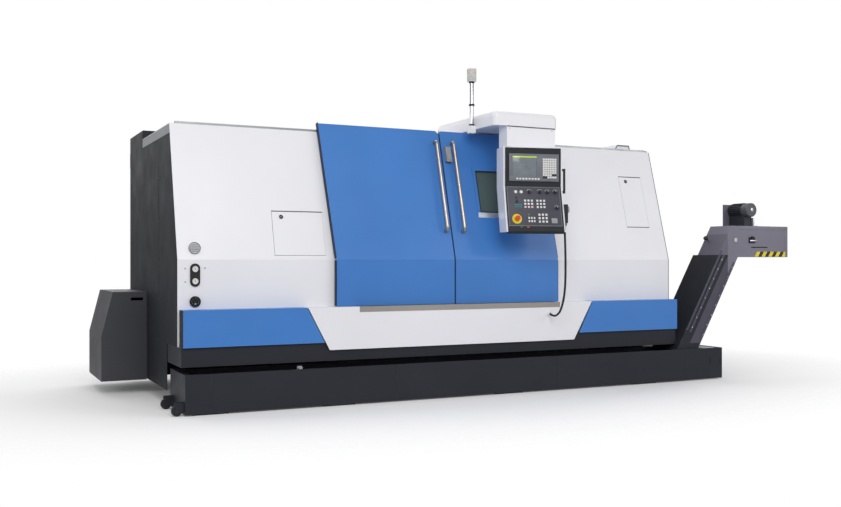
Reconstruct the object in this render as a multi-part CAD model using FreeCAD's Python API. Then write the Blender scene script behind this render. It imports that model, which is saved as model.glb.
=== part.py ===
import FreeCAD, Part
import math
import os

# Slant-bed turning lathe with a chip conveyor. Millimetres, +X to the operator's right, +Y to the rear, +Z up.
# The origin lies on the floor under the middle of the machine body.

V = FreeCAD.Vector
os.makedirs("parts", exist_ok=True)

# ---------------------------------------------------------------- driving dimensions
# Body and covers
body_left_x = -2250
body_right_x = 2250
cover_front_y = -1015        # front covers, below the waist line
body_rear_y = 1020
waist_z = 1105               # above this line the covers and doors lean back
lean = 0.28                  # setback for each millimetre of height
cover_bottom_z = 475
roof_top_z = 2125
sheet = 4                    # cover sheet thickness
edge_return = 36             # folded edge at the sides of a front cover

# Sliding doors
door_proud = 50              # door front stands this far in front of the covers
door_depth = 30
door_skin = 3
door_bottom_z = 746
door_top_z = 2190
door_seam_x = -18            # where the two doors meet
door_seam_gap = 4
left_door_edge_x = -1045
left_door_flare = 46         # the left door's outer edge leans out by this much at its top
right_door_edge_x = 991
door_corner = 24             # chamfer of the top corners at the seam
door_overlap = 20            # how far each closed door covers the front cover behind it
shoe_gap = 0.3               # play of a sliding piece over its rail

# Window in the right door
window_left_x = 285
window_width = 420
window_bottom_z = 1500
window_top_z = 1862
window_frame_width = 26
window_frame_proud = 5
glass_thickness = 8

# Door handles: bowed tubes
handle_radius = 13
handle_stand = 52
handle_bottom_z = 1335
handle_top_z = 2085
left_handle_x = -72
right_handle_x = 88
interlock_size = (46, 34, 120)

# Access doors in the front covers
left_access_x = (-1522, -1110)
left_access_z = (1135, 1474)
right_access_x = (1837, 2093)
right_access_z = (1404, 1872)
access_gap = 3
access_hinge_gap = 0.4       # seam on the hinged side
access_fold = 18
access_roll = 3              # radius of the rolled edge on the hinged side
lock_radius = 9
lock_inset = (72, 40)        # lock centre from the access door's free edge and top

# Gauges near the left front corner
gauge_x = -2124
gauge_proud = 12
vent_z, vent_radius = 1186, 44
plate_z, plate_width, plate_height = 992, 72, 168
dial_radius = 26
dial_spacing = 88
round_gauge_z, round_gauge_radius = 800, 40

# Skirts, apron and plinth along the front
skirt_front_y = -1135
skirt_bottom_z = 475
skirt_top_z = 743
left_skirt_x = (-2235, -1168, -1310)     # outer edge, inner edge at the bottom, inner edge at the top
right_skirt_x = (2245, 1164, 1303)
apron_bottom_z = 418
apron_bottom_x = (-1129, 1109)
apron_gap = 8
sill_z = 700
sill_x = (-885, 965)
plinth_front_y = -1112
plinth_bottom_z = 335
chute_x = (-1040, 1500)
chute_y = (-1060, -812)
chute_lip = 6
lid_play = 0.3               # between the chute's lip and the tank's lid

# Rear electrical cabinet
cabinet_right_x = -1230
cabinet_front_y = 360
cabinet_bottom_z = 120
cabinet_top_z = 2200
cabinet_door_thickness = 24
hinge_radius = 9

# Left service box
box_left_x = -2611
box_y = (185, 935)
box_z = (110, 840)
box_chamfer = (90, 360)
slot_z = (768, 792)
slot_span = (0.47, 0.11)     # both ends of the slot, in shares of the flat top's width

# Bed
bed_half_length = 1900
bed_front_y = -640
bed_bottom_z = 90
bed_toe_z = 430
bed_rear_y = cabinet_front_y
bed_shoulder_z = 1200
bed_top_t = 480
bed_low_t = -380
bed_wall = 45
bed_roof = 60                # casting left over the pockets at the rear shoulder
bed_pocket_length = 520
bed_pockets = 6
foot_height = 30
foot_screw_radius = 24
feet_x = (-1680, -560, 560, 1680)
feet_y = (-530, 250)
foot_plate = (150, 120)      # half sizes along X and Y
anchor_radius = 9
anchor_inset = 28

# Spindle line and the slanted bed plane below it
spindle_y = -420
spindle_z = 1180
centre_height = 330          # spindle axis above the bed plane
rail_width = 40
rail_height = 45
tail_rails_t = (-230, -60)
saddle_rails_t = (140, 400)
rails_x = (-1000, 1600)

# Headstock, spindle and chuck
head_x = (-1780, -1080)
head_t = (-300, 330)         # foot of the headstock, up the slope
head_shoulder_h = 420
head_crown_t = (-150, 150)
head_crown_h = 560
motor_seat_half = 100
spindle_radius = 90
spindle_bore = 48
spindle_nose_radius = 140
running_gap = 0.2            # play of a shaft in its bearing
spindle_x = (-1990, -1030)
chuck_radius = 190
chuck_x = (-1030, -870)
jaw_count = 3
jaw_width = 60
jaw_height = 62
jaw_grip_radius = 75
belt_x = (-1960, -1900)
spindle_pulley_radius = 170
motor_pulley_radius = 105
motor_y = -330
motor_z = 1790
motor_half = 140
motor_x = (-1830, -1350)
motor_shaft_radius = 30
belt_thickness = 12

# Saddle, cross slide and turret
saddle_x = (80, 520)
saddle_t = (85, 680)
saddle_thickness = 65
cross_t = (180, 470)
cross_thickness = 90
turret_t = 350
turret_housing_x = (72, 400)
turret_half = 135
turret_disc_x = (-70, 69.5)
turret_disc_radius = 195
turret_faces = 12
tool_reach = 66
tool_width = 54
z_screw_t = 270
z_screw_h = 22
screw_radius = 15
screw_block = 40
z_motor_x = (1650, 1880)
servo_half = 62
x_motor_t = (680, 800)

# Tailstock
tail_x = (950, 1350)
tail_t = (-280, -10)
tail_foot_h = 120
tail_column_t = (-100, 100)
tail_neck_h = 250
tail_top_h = 430
quill_hole_spare = 4
quill_radius = 60
quill_x = (850, 1340)
centre_radius = 42
centre_length = 60
centre_point = 50
centre_shank_radius = 20
centre_shank = 90

# Overhead arm and hanger
arm_x = (252, 872)
arm_y = (-1240, -200)
arm_z = (2202, 2322)
arm_corner = 45
arm_wall = 5
arm_foot_y = (-620, -240)
hanger_x = (372, 842)
hanger_y = (-1240, -1113)
hanger_bottom_z = 2032
hanger_floor = 10

# Operator panel
swivel_x = 608
swivel_y = -1206
panel_turn_deg = -14         # turned towards the operator at rest
panel_width = 505
fascia_width = 479
panel_front = -95            # from the swivel axis, in the panel's own frame
panel_back = 95
panel_top_z = 2029
panel_kink_z = 1707
panel_bottom_z = 1330
panel_kick = 90              # how far the lower half leans out at its bottom
panel_wall = 4
fascia_thickness = 6
post_radius = 18
post_collar = 12
collar_rim = 9
unit_x = (-208, 218)
unit_z = (1748, 1972)
unit_proud = 5
button_radius = 11
button_x = (-155, -108)
button_height = 9
knob_radius = 13
knob_height = 20
knob_x = (-38, 52, 118, 186)
knob_row = 0.13              # share of the lower fascia's height, from the kink
estop_radius = 20
estop_x = -160
estop_row = 0.72
estop_plate = 62
lower_knob_x = 190
lower_knob_row = 0.48
grab_z = (1665, 1850)
grab_radius = 10
hand_unit_z = (1405, 1560)
hand_unit_depth = 62
hand_unit_thickness = 34
handwheel_radius = 27

# Cable from the hand unit down to the apron
cable_radius = 9
cable_exit_run = 55          # the cable leaves the hand unit straight down for this length
cable_route = [
    (844, -1385, 1235),
    (848, -1384, 1105),
    (852, -1378, 972),
    (853, -1367, 842),
    (851, -1340, 738),
    (850, -1300, 668),
    (849, -1250, 636),
    (849, -1200, 630),
    (849, -1157, 644),
]
gland_radius = 17
gland_length = 20

# Signal lamp
lamp_x, lamp_y = 226, -909
lamp_bracket_half = 26
lamp_bracket_z = (2168, 2230)
lamp_pole_radius = 17
lamp_pole_top_z = 2602
lamp_head_radius = 38
lamp_head_top_z = 2712

# Coolant tank and casters
tank_x = (-2235, 2728)
tank_y = (-1195, -695)
tank_bottom_z = 10
tank_top_z = 290
tank_wall = 5
caster_radius = 37
caster_width = 30
caster_axle_radius = 7
caster_x = -2285
caster_lift = 0.3             # the wheels just clear a flat floor while the tank stands on its pads
caster_y = (-1150, -775)
pad_x = (-2180, -1200, 300, 1700)
pad_length = 260

# Chip conveyor
conveyor_y = (-1165, -820)
upper_back_y = -885          # the casing is narrower above its ledge
ledge_z = 1150
conveyor_wall = 5
conveyor_floor_z = tank_bottom_z + tank_wall
incline_deg = 60
incline_foot_x = 2310
casing_depth = 215
head_z = (1130, 1425)
head_left_x = 2830
head_right_x = 3595
outlet_x = (3350, 3560)
shaft_radius = 20
sprocket_radius = 70
belt_plate = 8
gear_plate_x = (3046, 3121)
gear_plate_z = (1380, 1640)
gear_plate_thickness = 15
motor_drum_radius = 63
motor_drum_x = 3155
motor_drum_y = (-1130, -850)
motor_drum_z = 1580
head_axis_z = 1290           # the belt turns round this shaft in the discharge head

root2 = math.sqrt(0.5)
axis_x = V(1, 0, 0)
axis_z = V(0, 0, 1)
cover_top_z = roof_top_z - sheet


# ---------------------------------------------------------------- shape helpers
def box(x, y, z):
    """Box between the two values given for each axis."""
    return Part.makeBox(x[1] - x[0], y[1] - y[0], z[1] - z[0], V(x[0], y[0], z[0]))


def prism(points, direction):
    wire = Part.makePolygon(points + [points[0]])
    return Part.Face(wire).extrude(direction)


def along_x(outline, x):
    """Outline of (y, z) points, run from x[0] to x[1]."""
    return prism([V(x[0], y, z) for y, z in outline], V(x[1] - x[0], 0, 0))


def along_y(outline, y):
    """Outline of (x, z) points, run from y[0] to y[1]."""
    return prism([V(x, y[0], z) for x, z in outline], V(0, y[1] - y[0], 0))


def along_z(outline, z):
    """Outline of (x, y) points, run from z[0] to z[1]."""
    return prism([V(x, y, z[0]) for x, y in outline], V(0, 0, z[1] - z[0]))


def rod(start, end, radius):
    line = end.sub(start)
    return Part.makeCylinder(radius, line.Length, start, line)


def ring(start, end, outer, inner):
    return rod(start, end, outer).cut(rod(start, end, inner))


def joined(shapes):
    """One solid out of shapes that touch or overlap."""
    return shapes[0].fuse(shapes[1:]).removeSplitter()


def group(shapes):
    """Separate solids kept in one file."""
    return Part.makeCompound(shapes)


def save(name, shape):
    shape.exportStep("parts/" + name + ".step")


def grown(span, by):
    """The same span, longer by this much at both ends."""
    return (span[0] - by, span[1] + by)


# ---------------------------------------------------------------- the leaning front
def front_y(z, proud):
    """Y of a front face that stands proud of the covers, at height z."""
    return cover_front_y - proud + lean * max(0, z - waist_z)


def leaning(x, z, proud, depth):
    """Sheet or slab that follows the front: upright below the waist line, leaning back above it."""
    levels = [z[0], z[1]]
    if z[0] < waist_z < z[1]:
        levels = [z[0], waist_z, z[1]]
    front = [(front_y(level, proud), level) for level in levels]
    back = [(y + depth, level) for y, level in reversed(front)]
    return along_x(front + back, x)


def front_cover(x, return_x, access_x, access_z):
    """Folded cover with a return at the door opening and the hole for its access door."""
    z = (cover_bottom_z, cover_top_z)
    skin = leaning(x, z, 0, sheet)
    edge = leaning(return_x, z, -sheet, edge_return)
    hole = leaning(access_x, access_z, sheet, sheet * 3)
    return joined([skin, edge]).cut(hole)


# ---------------------------------------------------------------- covers, skirts and plinth
opening_left_x = left_door_edge_x + door_overlap
opening_right_x = right_door_edge_x - door_overlap
left_cover = front_cover((body_left_x, opening_left_x), (opening_left_x - sheet, opening_left_x),
                         left_access_x, left_access_z)
right_cover = front_cover((opening_right_x, body_right_x), (opening_right_x, opening_right_x + sheet),
                          right_access_x, right_access_z)

end_front = [(front_y(z, -sheet), z) for z in (cover_bottom_z, waist_z, cover_top_z)]


def end_panel(x, back_y):
    return along_x(end_front + [(back_y, cover_top_z), (back_y, cabinet_bottom_z),
                                (bed_front_y, cabinet_bottom_z), (bed_front_y, cover_bottom_z)], x)


left_end = end_panel((body_left_x, body_left_x + sheet), cabinet_front_y)
right_end = end_panel((body_right_x - sheet, body_right_x), body_rear_y)
rear = box((cabinet_right_x, body_right_x - sheet), (body_rear_y - sheet, body_rear_y),
           (cabinet_bottom_z, cover_top_z))
band_z = (2050, 2118)
band_thickness = 3
trim_band = along_x([(front_y(band_z[0], -sheet), band_z[0]), (front_y(band_z[1], -sheet), band_z[1]),
                     (cabinet_front_y, band_z[1]), (cabinet_front_y, band_z[0])],
                    (body_left_x - band_thickness, body_left_x))
save("left_front_cover", left_cover)
save("right_front_cover", right_cover)
save("end_and_rear_panels", group([left_end, right_end, rear, trim_band]))

roof_front_y = front_y(cover_top_z, 0)
roof_outline = [(body_left_x, roof_front_y), (body_right_x, roof_front_y), (body_right_x, body_rear_y),
                (cabinet_right_x, body_rear_y), (cabinet_right_x, cabinet_front_y),
                (body_left_x, cabinet_front_y)]
roof_sheet = along_z(roof_outline, (cover_top_z, roof_top_z))
cowl_x = (1905, 2110)
cowl_y = (-640, -300)
cowl_height = 66
cowl_slope = 45
cowl = along_y([(cowl_x[0], roof_top_z), (cowl_x[1], roof_top_z),
                (cowl_x[1] - cowl_slope / 2, roof_top_z + cowl_height),
                (cowl_x[0] + cowl_slope, roof_top_z + cowl_height)], cowl_y)
save("roof", joined([roof_sheet, cowl]))


def skirt(x_outer, x_low, x_high):
    """Folded skirt: slanted inner edge, top ledge back to the cover and an outer cheek."""
    outline = [(x_outer, skirt_bottom_z), (x_low, skirt_bottom_z), (x_high, skirt_top_z), (x_outer, skirt_top_z)]
    block = along_y(outline, (skirt_front_y, cover_front_y))
    inset = math.copysign(sheet, x_low - x_outer)
    hollow = [(x_outer + inset, skirt_bottom_z), (x_low, skirt_bottom_z), (x_high, skirt_top_z - sheet),
              (x_outer + inset, skirt_top_z - sheet)]
    far = [(x + 2 * inset if i in (1, 2) else x, z) for i, (x, z) in enumerate(hollow)]
    return block.cut(along_y(far, (skirt_front_y + sheet, cover_front_y)))


save("front_skirts", group([skirt(*left_skirt_x), skirt(*right_skirt_x)]))

apron_top_x = (left_skirt_x[2] + apron_gap, right_skirt_x[2] - apron_gap)
apron_face = along_y([(apron_bottom_x[0], apron_bottom_z), (apron_bottom_x[1], apron_bottom_z),
                      (apron_top_x[1], skirt_top_z), (sill_x[1], skirt_top_z), (sill_x[1], sill_z),
                      (sill_x[0], sill_z), (sill_x[0], skirt_top_z), (apron_top_x[0], skirt_top_z)],
                     (skirt_front_y, skirt_front_y + sheet))
ledge_z_span = (skirt_top_z - sheet, skirt_top_z)
ledge_y = (skirt_front_y, cover_front_y)
left_ledge = box((apron_top_x[0] + sheet, sill_x[0]), ledge_y, ledge_z_span)
right_ledge = box((sill_x[1], apron_top_x[1] - sheet), ledge_y, ledge_z_span)
cable_end = V(*cable_route[-1])
cable_heading = cable_end - V(*cable_route[-2])
cable_heading.normalize()
gland_reach = (skirt_front_y + sheet - cable_end.y) / cable_heading.y
apron_gland = rod(cable_end, cable_end + cable_heading * gland_reach, gland_radius)
save("centre_apron", joined([apron_face, left_ledge, right_ledge, apron_gland]))

sill_rail = box(sill_x, (skirt_front_y + sheet, cover_front_y), (sill_z, skirt_top_z))
sill_web = box((opening_left_x, opening_right_x), (cover_front_y, cover_front_y + sheet),
               (cover_bottom_z, skirt_top_z))
save("sill_rail", joined([sill_rail, sill_web]))

plinth_block = box((body_left_x + 5, body_right_x - 5), (plinth_front_y, bed_front_y),
                   (plinth_bottom_z, cover_bottom_z))
plinth_hollow = box((body_left_x + 5 + sheet, body_right_x - 5 - sheet),
                    (plinth_front_y + sheet, bed_front_y), (plinth_bottom_z, cover_bottom_z - sheet))
chute = box(chute_x, chute_y, grown((plinth_bottom_z, cover_bottom_z), sheet))
lip_y = (chute_y[1], chute_y[1] + chute_lip)
lip = box(chute_x, lip_y, (tank_top_z + lid_play, cover_bottom_z - sheet))
plinth = joined([plinth_block.cut(plinth_hollow).cut(chute), lip])
save("plinth", plinth)

# ---------------------------------------------------------------- electrical cabinet and service box
cabinet_back_y = body_rear_y - cabinet_door_thickness
cabinet_x = (body_left_x, cabinet_right_x)
cabinet_z = (cabinet_bottom_z, cabinet_top_z)
cabinet = box(cabinet_x, (cabinet_front_y, cabinet_back_y), cabinet_z).cut(
    box(grown(cabinet_x, -sheet), (cabinet_front_y + sheet, cabinet_back_y), grown(cabinet_z, -sheet)))
door_play = 2
cabinet_door_x = grown(cabinet_x, -hinge_radius * 2 - door_play)
pin_x = cabinet_x[0] + hinge_radius
pin_y = cabinet_back_y + hinge_radius
knuckle_inset = 200
knuckle_length = 60
knuckle_z = [(cabinet_bottom_z + knuckle_inset, cabinet_bottom_z + knuckle_inset + knuckle_length),
             (cabinet_top_z - knuckle_inset - knuckle_length, cabinet_top_z - knuckle_inset)]
cabinet_knuckles = [rod(V(pin_x, pin_y, z[0]), V(pin_x, pin_y, z[1]), hinge_radius) for z in knuckle_z]
knuckle_tabs = [box((cabinet_x[0], cabinet_x[0] + sheet), (cabinet_back_y - 1, pin_y), z) for z in knuckle_z]
save("electrical_cabinet", joined([cabinet] + cabinet_knuckles + knuckle_tabs))

door_leaf = box(cabinet_door_x, (cabinet_back_y + 0.5, body_rear_y), grown(cabinet_z, -door_play))
door_leaf = door_leaf.cut(box(grown(cabinet_door_x, -door_skin), (cabinet_back_y, body_rear_y - door_skin),
                              grown(cabinet_z, -door_play - door_skin)))
door_knuckles = []
for z in knuckle_z:
    upper = (z[1] + shoe_gap, z[1] + knuckle_length)
    arm = box((pin_x, cabinet_door_x[0] + 1), (pin_y - 2, pin_y + 4), upper)
    door_knuckles += [rod(V(pin_x, pin_y, upper[0]), V(pin_x, pin_y, upper[1]), hinge_radius), arm]
cabinet_handle_inset = 90
cabinet_handle_size = (30, 14, 160)
cabinet_handle_z = 1050
cabinet_handle_x = cabinet_door_x[1] - cabinet_handle_inset
cabinet_handle = box((cabinet_handle_x, cabinet_handle_x + cabinet_handle_size[0]),
                     (body_rear_y, body_rear_y + cabinet_handle_size[1]),
                     (cabinet_handle_z, cabinet_handle_z + cabinet_handle_size[2]))
save("cabinet_door", joined([door_leaf, cabinet_handle] + door_knuckles))

box_outline = [(box_left_x, box_z[0]), (body_left_x, box_z[0]), (body_left_x, box_z[1]),
               (box_left_x + box_chamfer[0], box_z[1]), (box_left_x, box_z[1] - box_chamfer[1])]
box_inner = [(box_left_x + sheet, box_z[0] + sheet), (body_left_x, box_z[0] + sheet),
             (body_left_x, box_z[1] - sheet), (box_left_x + box_chamfer[0] + sheet, box_z[1] - sheet),
             (box_left_x + sheet, box_z[1] - box_chamfer[1])]
service_box = along_y(box_outline, box_y).cut(along_y(box_inner, grown(box_y, -sheet)))
flat_width = body_left_x - box_left_x - box_chamfer[0]
slot_x = tuple(body_left_x - share * flat_width for share in slot_span)
service_slot = box(slot_x, (box_y[0] - sheet, box_y[0] + sheet * 2), slot_z)
save("service_box", service_box.cut(service_slot))

# ---------------------------------------------------------------- bed, feet and rails
bed_foot_y = spindle_y + centre_height * root2
bed_foot_z = spindle_z - centre_height * root2


def on_bed(t, h):
    """(y, z) of a point t up the slope and h above the bed plane."""
    return (bed_foot_y + (t - h) * root2, bed_foot_z + (t + h) * root2)


def bed_slab(x, t, h):
    return along_x([on_bed(t[0], h[0]), on_bed(t[1], h[0]), on_bed(t[1], h[1]), on_bed(t[0], h[1])], x)


def bed_point(x, t, h):
    y, z = on_bed(t, h)
    return V(x, y, z)


bed_top = on_bed(bed_top_t, 0)
bed_low = on_bed(bed_low_t, 0)
bed_flat = 150
bed_x = (-bed_half_length, bed_half_length)
bed_block = along_x([(bed_front_y, bed_bottom_z), (bed_front_y, bed_toe_z), bed_low, bed_top,
                     (bed_top[0] + bed_flat, bed_top[1]), (bed_rear_y, bed_shoulder_z),
                     (bed_rear_y, bed_bottom_z)], bed_x)
bed = bed_block
pocket_low = on_bed(bed_low_t, -bed_wall * 1.4)
pocket_roof_z = bed_shoulder_z - bed_roof
pocket_top_y = pocket_low[0] + pocket_roof_z - pocket_low[1]
pocket_pitch = 2 * bed_half_length / bed_pockets
for i in range(bed_pockets):
    left = -bed_half_length + pocket_pitch * (i + 0.5) - bed_pocket_length / 2
    pocket = along_x([(bed_front_y + bed_wall, bed_bottom_z + bed_wall),
                      (bed_front_y + bed_wall, bed_toe_z), pocket_low, (pocket_top_y, pocket_roof_z),
                      (bed_rear_y, pocket_roof_z), (bed_rear_y, bed_bottom_z + bed_wall)],
                     (left, left + bed_pocket_length))
    bed = bed.cut(pocket)
save("bed_casting", bed)

feet = []
for y in feet_y:
    for x in feet_x:
        plate = box((x - foot_plate[0], x + foot_plate[0]), (y - foot_plate[1], y + foot_plate[1]),
                    (0, foot_height))
        screw = rod(V(x, y, foot_height), V(x, y, bed_bottom_z), foot_screw_radius)
        outward = math.copysign(foot_plate[0] - anchor_inset, x)
        anchor = rod(V(x + outward, y, 0), V(x + outward, y, foot_height), anchor_radius)
        feet.append(joined([plate, screw]).cut(anchor))
middle_plate = box((-foot_plate[0], foot_plate[0]), (-foot_plate[1], foot_plate[1]), (0, foot_height))
middle_screw = rod(V(0, 0, foot_height), V(0, 0, bed_bottom_z), foot_screw_radius)
feet.append(joined([middle_plate, middle_screw]))
save("levelling_feet", group(feet))

rails = [bed_slab(rails_x, (t - rail_width / 2, t + rail_width / 2), (0, rail_height))
         for t in tail_rails_t + saddle_rails_t]
z_screw_x = (rails_x[0], z_motor_x[0])
left_block = bed_slab((z_screw_x[0], z_screw_x[0] + screw_block), (z_screw_t - 35, z_screw_t + 35), (0, rail_height))
left_block = left_block.cut(rod(bed_point(z_screw_x[0], z_screw_t, z_screw_h),
                                bed_point(z_screw_x[0] + screw_block, z_screw_t, z_screw_h),
                                screw_radius + running_gap))
save("guideways", group(rails + [left_block]))

# ---------------------------------------------------------------- headstock, spindle, chuck and drive
motor_seat_z = motor_z - motor_half
head_block = along_x([on_bed(head_t[0], 0), on_bed(head_t[1], 0), on_bed(head_t[1], head_shoulder_h),
                      (motor_y + motor_seat_half, motor_seat_z), (motor_y - motor_seat_half, motor_seat_z),
                      on_bed(head_crown_t[1], head_crown_h), on_bed(head_crown_t[0], head_crown_h),
                      on_bed(head_t[0], head_shoulder_h)], head_x)
spindle_line = [V(x, spindle_y, spindle_z) for x in spindle_x]
head_bore = rod(V(head_x[0], spindle_y, spindle_z), V(head_x[1], spindle_y, spindle_z),
                spindle_radius + running_gap)
save("headstock", head_block.cut(head_bore))

nose = rod(V(head_x[1] + 2, spindle_y, spindle_z), V(chuck_x[0], spindle_y, spindle_z), spindle_nose_radius)
spindle = joined([rod(spindle_line[0], spindle_line[1], spindle_radius), nose])
spindle = spindle.cut(rod(spindle_line[0], spindle_line[1], spindle_bore))


chuck = ring(V(chuck_x[0], spindle_y, spindle_z), V(chuck_x[1], spindle_y, spindle_z), chuck_radius, spindle_bore)
slot_depth = 24
jaw_slot_gap = 0.3
chuck_centre = V(0, spindle_y, spindle_z)
jaw_low = jaw_grip_radius
jaw_high = chuck_radius - 12
for i in range(jaw_count):
    turn = 360 * i / jaw_count
    way = box((chuck_x[1] - slot_depth, chuck_x[1]),
              (spindle_y - jaw_width / 2 - jaw_slot_gap, spindle_y + jaw_width / 2 + jaw_slot_gap),
              (spindle_z + spindle_bore + 5, spindle_z + chuck_radius + 5))
    way.rotate(chuck_centre, axis_x, turn)
    chuck = chuck.cut(way)
    foot = box((chuck_x[1] - slot_depth + jaw_slot_gap, chuck_x[1] + jaw_height),
               (spindle_y - jaw_width / 2, spindle_y + jaw_width / 2),
               (spindle_z + jaw_low, spindle_z + jaw_high))
    step = box((chuck_x[1] + jaw_height / 2, chuck_x[1] + jaw_height),
               (spindle_y - jaw_width / 2, spindle_y + jaw_width / 2),
               (spindle_z + jaw_low, spindle_z + jaw_low + 40))
    jaw = foot.cut(step)
    jaw.rotate(chuck_centre, axis_x, turn)
    save("chuck_jaw_%d" % (i + 1), jaw)
save("chuck_body", chuck)

spindle_pulley = ring(V(belt_x[0], spindle_y, spindle_z), V(belt_x[1], spindle_y, spindle_z),
                      spindle_pulley_radius, spindle_radius)
save("spindle", group([spindle, spindle_pulley]))
motor_body = box(motor_x, (motor_y - motor_half, motor_y + motor_half), (motor_z - motor_half, motor_z + motor_half))
shaft_depth = 60
motor_body = motor_body.cut(rod(V(motor_x[0], motor_y, motor_z), V(motor_x[0] + shaft_depth, motor_y, motor_z),
                                motor_shaft_radius + running_gap))
z_motor = bed_slab(z_motor_x, (z_screw_t - servo_half, z_screw_t + servo_half), (0, 2 * servo_half))
z_motor = z_motor.cut(rod(bed_point(z_motor_x[0], z_screw_t, z_screw_h),
                          bed_point(z_motor_x[0] + shaft_depth, z_screw_t, z_screw_h), screw_radius + running_gap))
save("drive_motors", group([motor_body, z_motor]))
motor_pulley = rod(V(belt_x[0], motor_y, motor_z), V(belt_x[1], motor_y, motor_z), motor_pulley_radius)
motor_shaft = rod(V(belt_x[1], motor_y, motor_z), V(motor_x[0] + shaft_depth - 1, motor_y, motor_z),
                  motor_shaft_radius)
save("motor_pulley", joined([motor_pulley, motor_shaft]))


def belt_loop(first, second, first_radius, second_radius):
    """Closed (y, z) outline wrapped round two circles."""
    span = V(0, second[0] - first[0], second[1] - first[1])
    heading = math.atan2(span.z, span.y)
    wrap = math.acos((first_radius - second_radius) / span.Length)
    edges = []
    corners = []
    for (y, z), radius, start, end in ((first, first_radius, heading + wrap, heading - wrap + 2 * math.pi),
                                       (second, second_radius, heading - wrap, heading + wrap)):
        angles = (start, (start + end) / 2, end)
        points = [V(0, y + radius * math.cos(a), z + radius * math.sin(a)) for a in angles]
        edges.append(Part.Arc(*points).toShape())
        corners.append(points)
    edges.insert(1, Part.LineSegment(corners[0][2], corners[1][0]).toShape())
    edges.append(Part.LineSegment(corners[1][2], corners[0][0]).toShape())
    return Part.Face(Part.Wire(edges))


belt_play = 0.4
pulley_pair = ((spindle_y, spindle_z), (motor_y, motor_z))
belt_inner = belt_loop(*pulley_pair, spindle_pulley_radius + belt_play, motor_pulley_radius + belt_play)
belt_outer = belt_loop(*pulley_pair, spindle_pulley_radius + belt_thickness, motor_pulley_radius + belt_thickness)
drive_belt = belt_outer.cut(belt_inner).extrude(V(belt_x[1] - belt_x[0] - 10, 0, 0))
drive_belt.translate(V(belt_x[0] + 5, 0, 0))
save("drive_belt", drive_belt)

# ---------------------------------------------------------------- saddle, cross slide and turret
slide_base = rail_height + shoe_gap
saddle_top = rail_height + saddle_thickness
saddle_block = bed_slab(saddle_x, saddle_t, (slide_base, saddle_top))
nut_half = 26
nut = bed_slab(saddle_x, (z_screw_t - nut_half, z_screw_t + nut_half), (4, slide_base + 1))
nut_bore = rod(bed_point(saddle_x[0] - 1, z_screw_t, z_screw_h), bed_point(saddle_x[1] + 1, z_screw_t, z_screw_h),
               screw_radius + running_gap)
end_plate_t = (x_motor_t[0] - 20, x_motor_t[0])
end_plate_top = saddle_top + cross_thickness
end_plate = bed_slab((saddle_x[0] + 100, saddle_x[1] - 100), end_plate_t, (saddle_top, end_plate_top))
servo_x = ((saddle_x[0] + saddle_x[1]) / 2 - servo_half, (saddle_x[0] + saddle_x[1]) / 2 + servo_half)
x_motor = bed_slab(servo_x, x_motor_t, (saddle_top - 20, saddle_top - 20 + 2 * servo_half))
save("saddle", joined([saddle_block, nut, end_plate, x_motor]).cut(nut_bore))

z_screw = rod(bed_point(z_screw_x[0], z_screw_t, z_screw_h),
              bed_point(z_motor_x[0] + shaft_depth - 1, z_screw_t, z_screw_h), screw_radius)
save("z_ball_screw", z_screw)

cross_base = saddle_top + shoe_gap
cross_top = cross_base + cross_thickness
cross_x = (saddle_x[0] + 10, saddle_x[1] - 10)
cross_block = bed_slab(cross_x, cross_t, (cross_base, cross_top))
housing = bed_slab(turret_housing_x, (turret_t - turret_half, turret_t + turret_half),
                   (cross_top, centre_height + turret_half))
turret_back = bed_slab((turret_housing_x[1], turret_housing_x[1] + 70),
                       (turret_t - turret_half + 25, turret_t + turret_half - 25),
                       (cross_top, centre_height + turret_half - 25))
index_bore_radius = 60
index_length = 120
index_bore = rod(bed_point(turret_housing_x[0], turret_t, centre_height),
                 bed_point(turret_housing_x[0] + index_length, turret_t, centre_height),
                 index_bore_radius + running_gap)
save("cross_slide", cross_block)
save("turret_housing", joined([housing, turret_back]).cut(index_bore))

disc_outline = []
disc_centre = bed_point(turret_disc_x[0], turret_t, centre_height)
for i in range(turret_faces):
    angle = 2 * math.pi * (i + 0.5) / turret_faces + math.pi / 4
    corner = turret_disc_radius / math.cos(math.pi / turret_faces)
    disc_outline.append((disc_centre.y + corner * math.cos(angle), disc_centre.z + corner * math.sin(angle)))
disc = along_x(disc_outline, turret_disc_x)
index_hub = rod(bed_point(turret_disc_x[1], turret_t, centre_height),
                bed_point(turret_housing_x[0] + index_length - 1, turret_t, centre_height), index_bore_radius)

holders = []
tool_bar = 12
for i in range(0, turret_faces, 2):
    face = 2 * math.pi * i / turret_faces + math.pi / 4
    holder = box((turret_disc_x[0] + 20, turret_disc_x[0] + 20 + tool_width),
                 (disc_centre.y + turret_disc_radius, disc_centre.y + turret_disc_radius + tool_reach * 0.6),
                 (disc_centre.z - tool_width / 2, disc_centre.z + tool_width / 2))
    cutter = box((turret_disc_x[0] + 30, turret_disc_x[0] + 30 + 2 * tool_bar),
                 (disc_centre.y + turret_disc_radius, disc_centre.y + turret_disc_radius + tool_reach),
                 (disc_centre.z - tool_bar, disc_centre.z + tool_bar))
    tool = joined([holder, cutter])
    tool.rotate(disc_centre, axis_x, math.degrees(face))
    holders.append(tool)
save("turret_disc", joined([disc, index_hub] + holders))

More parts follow.
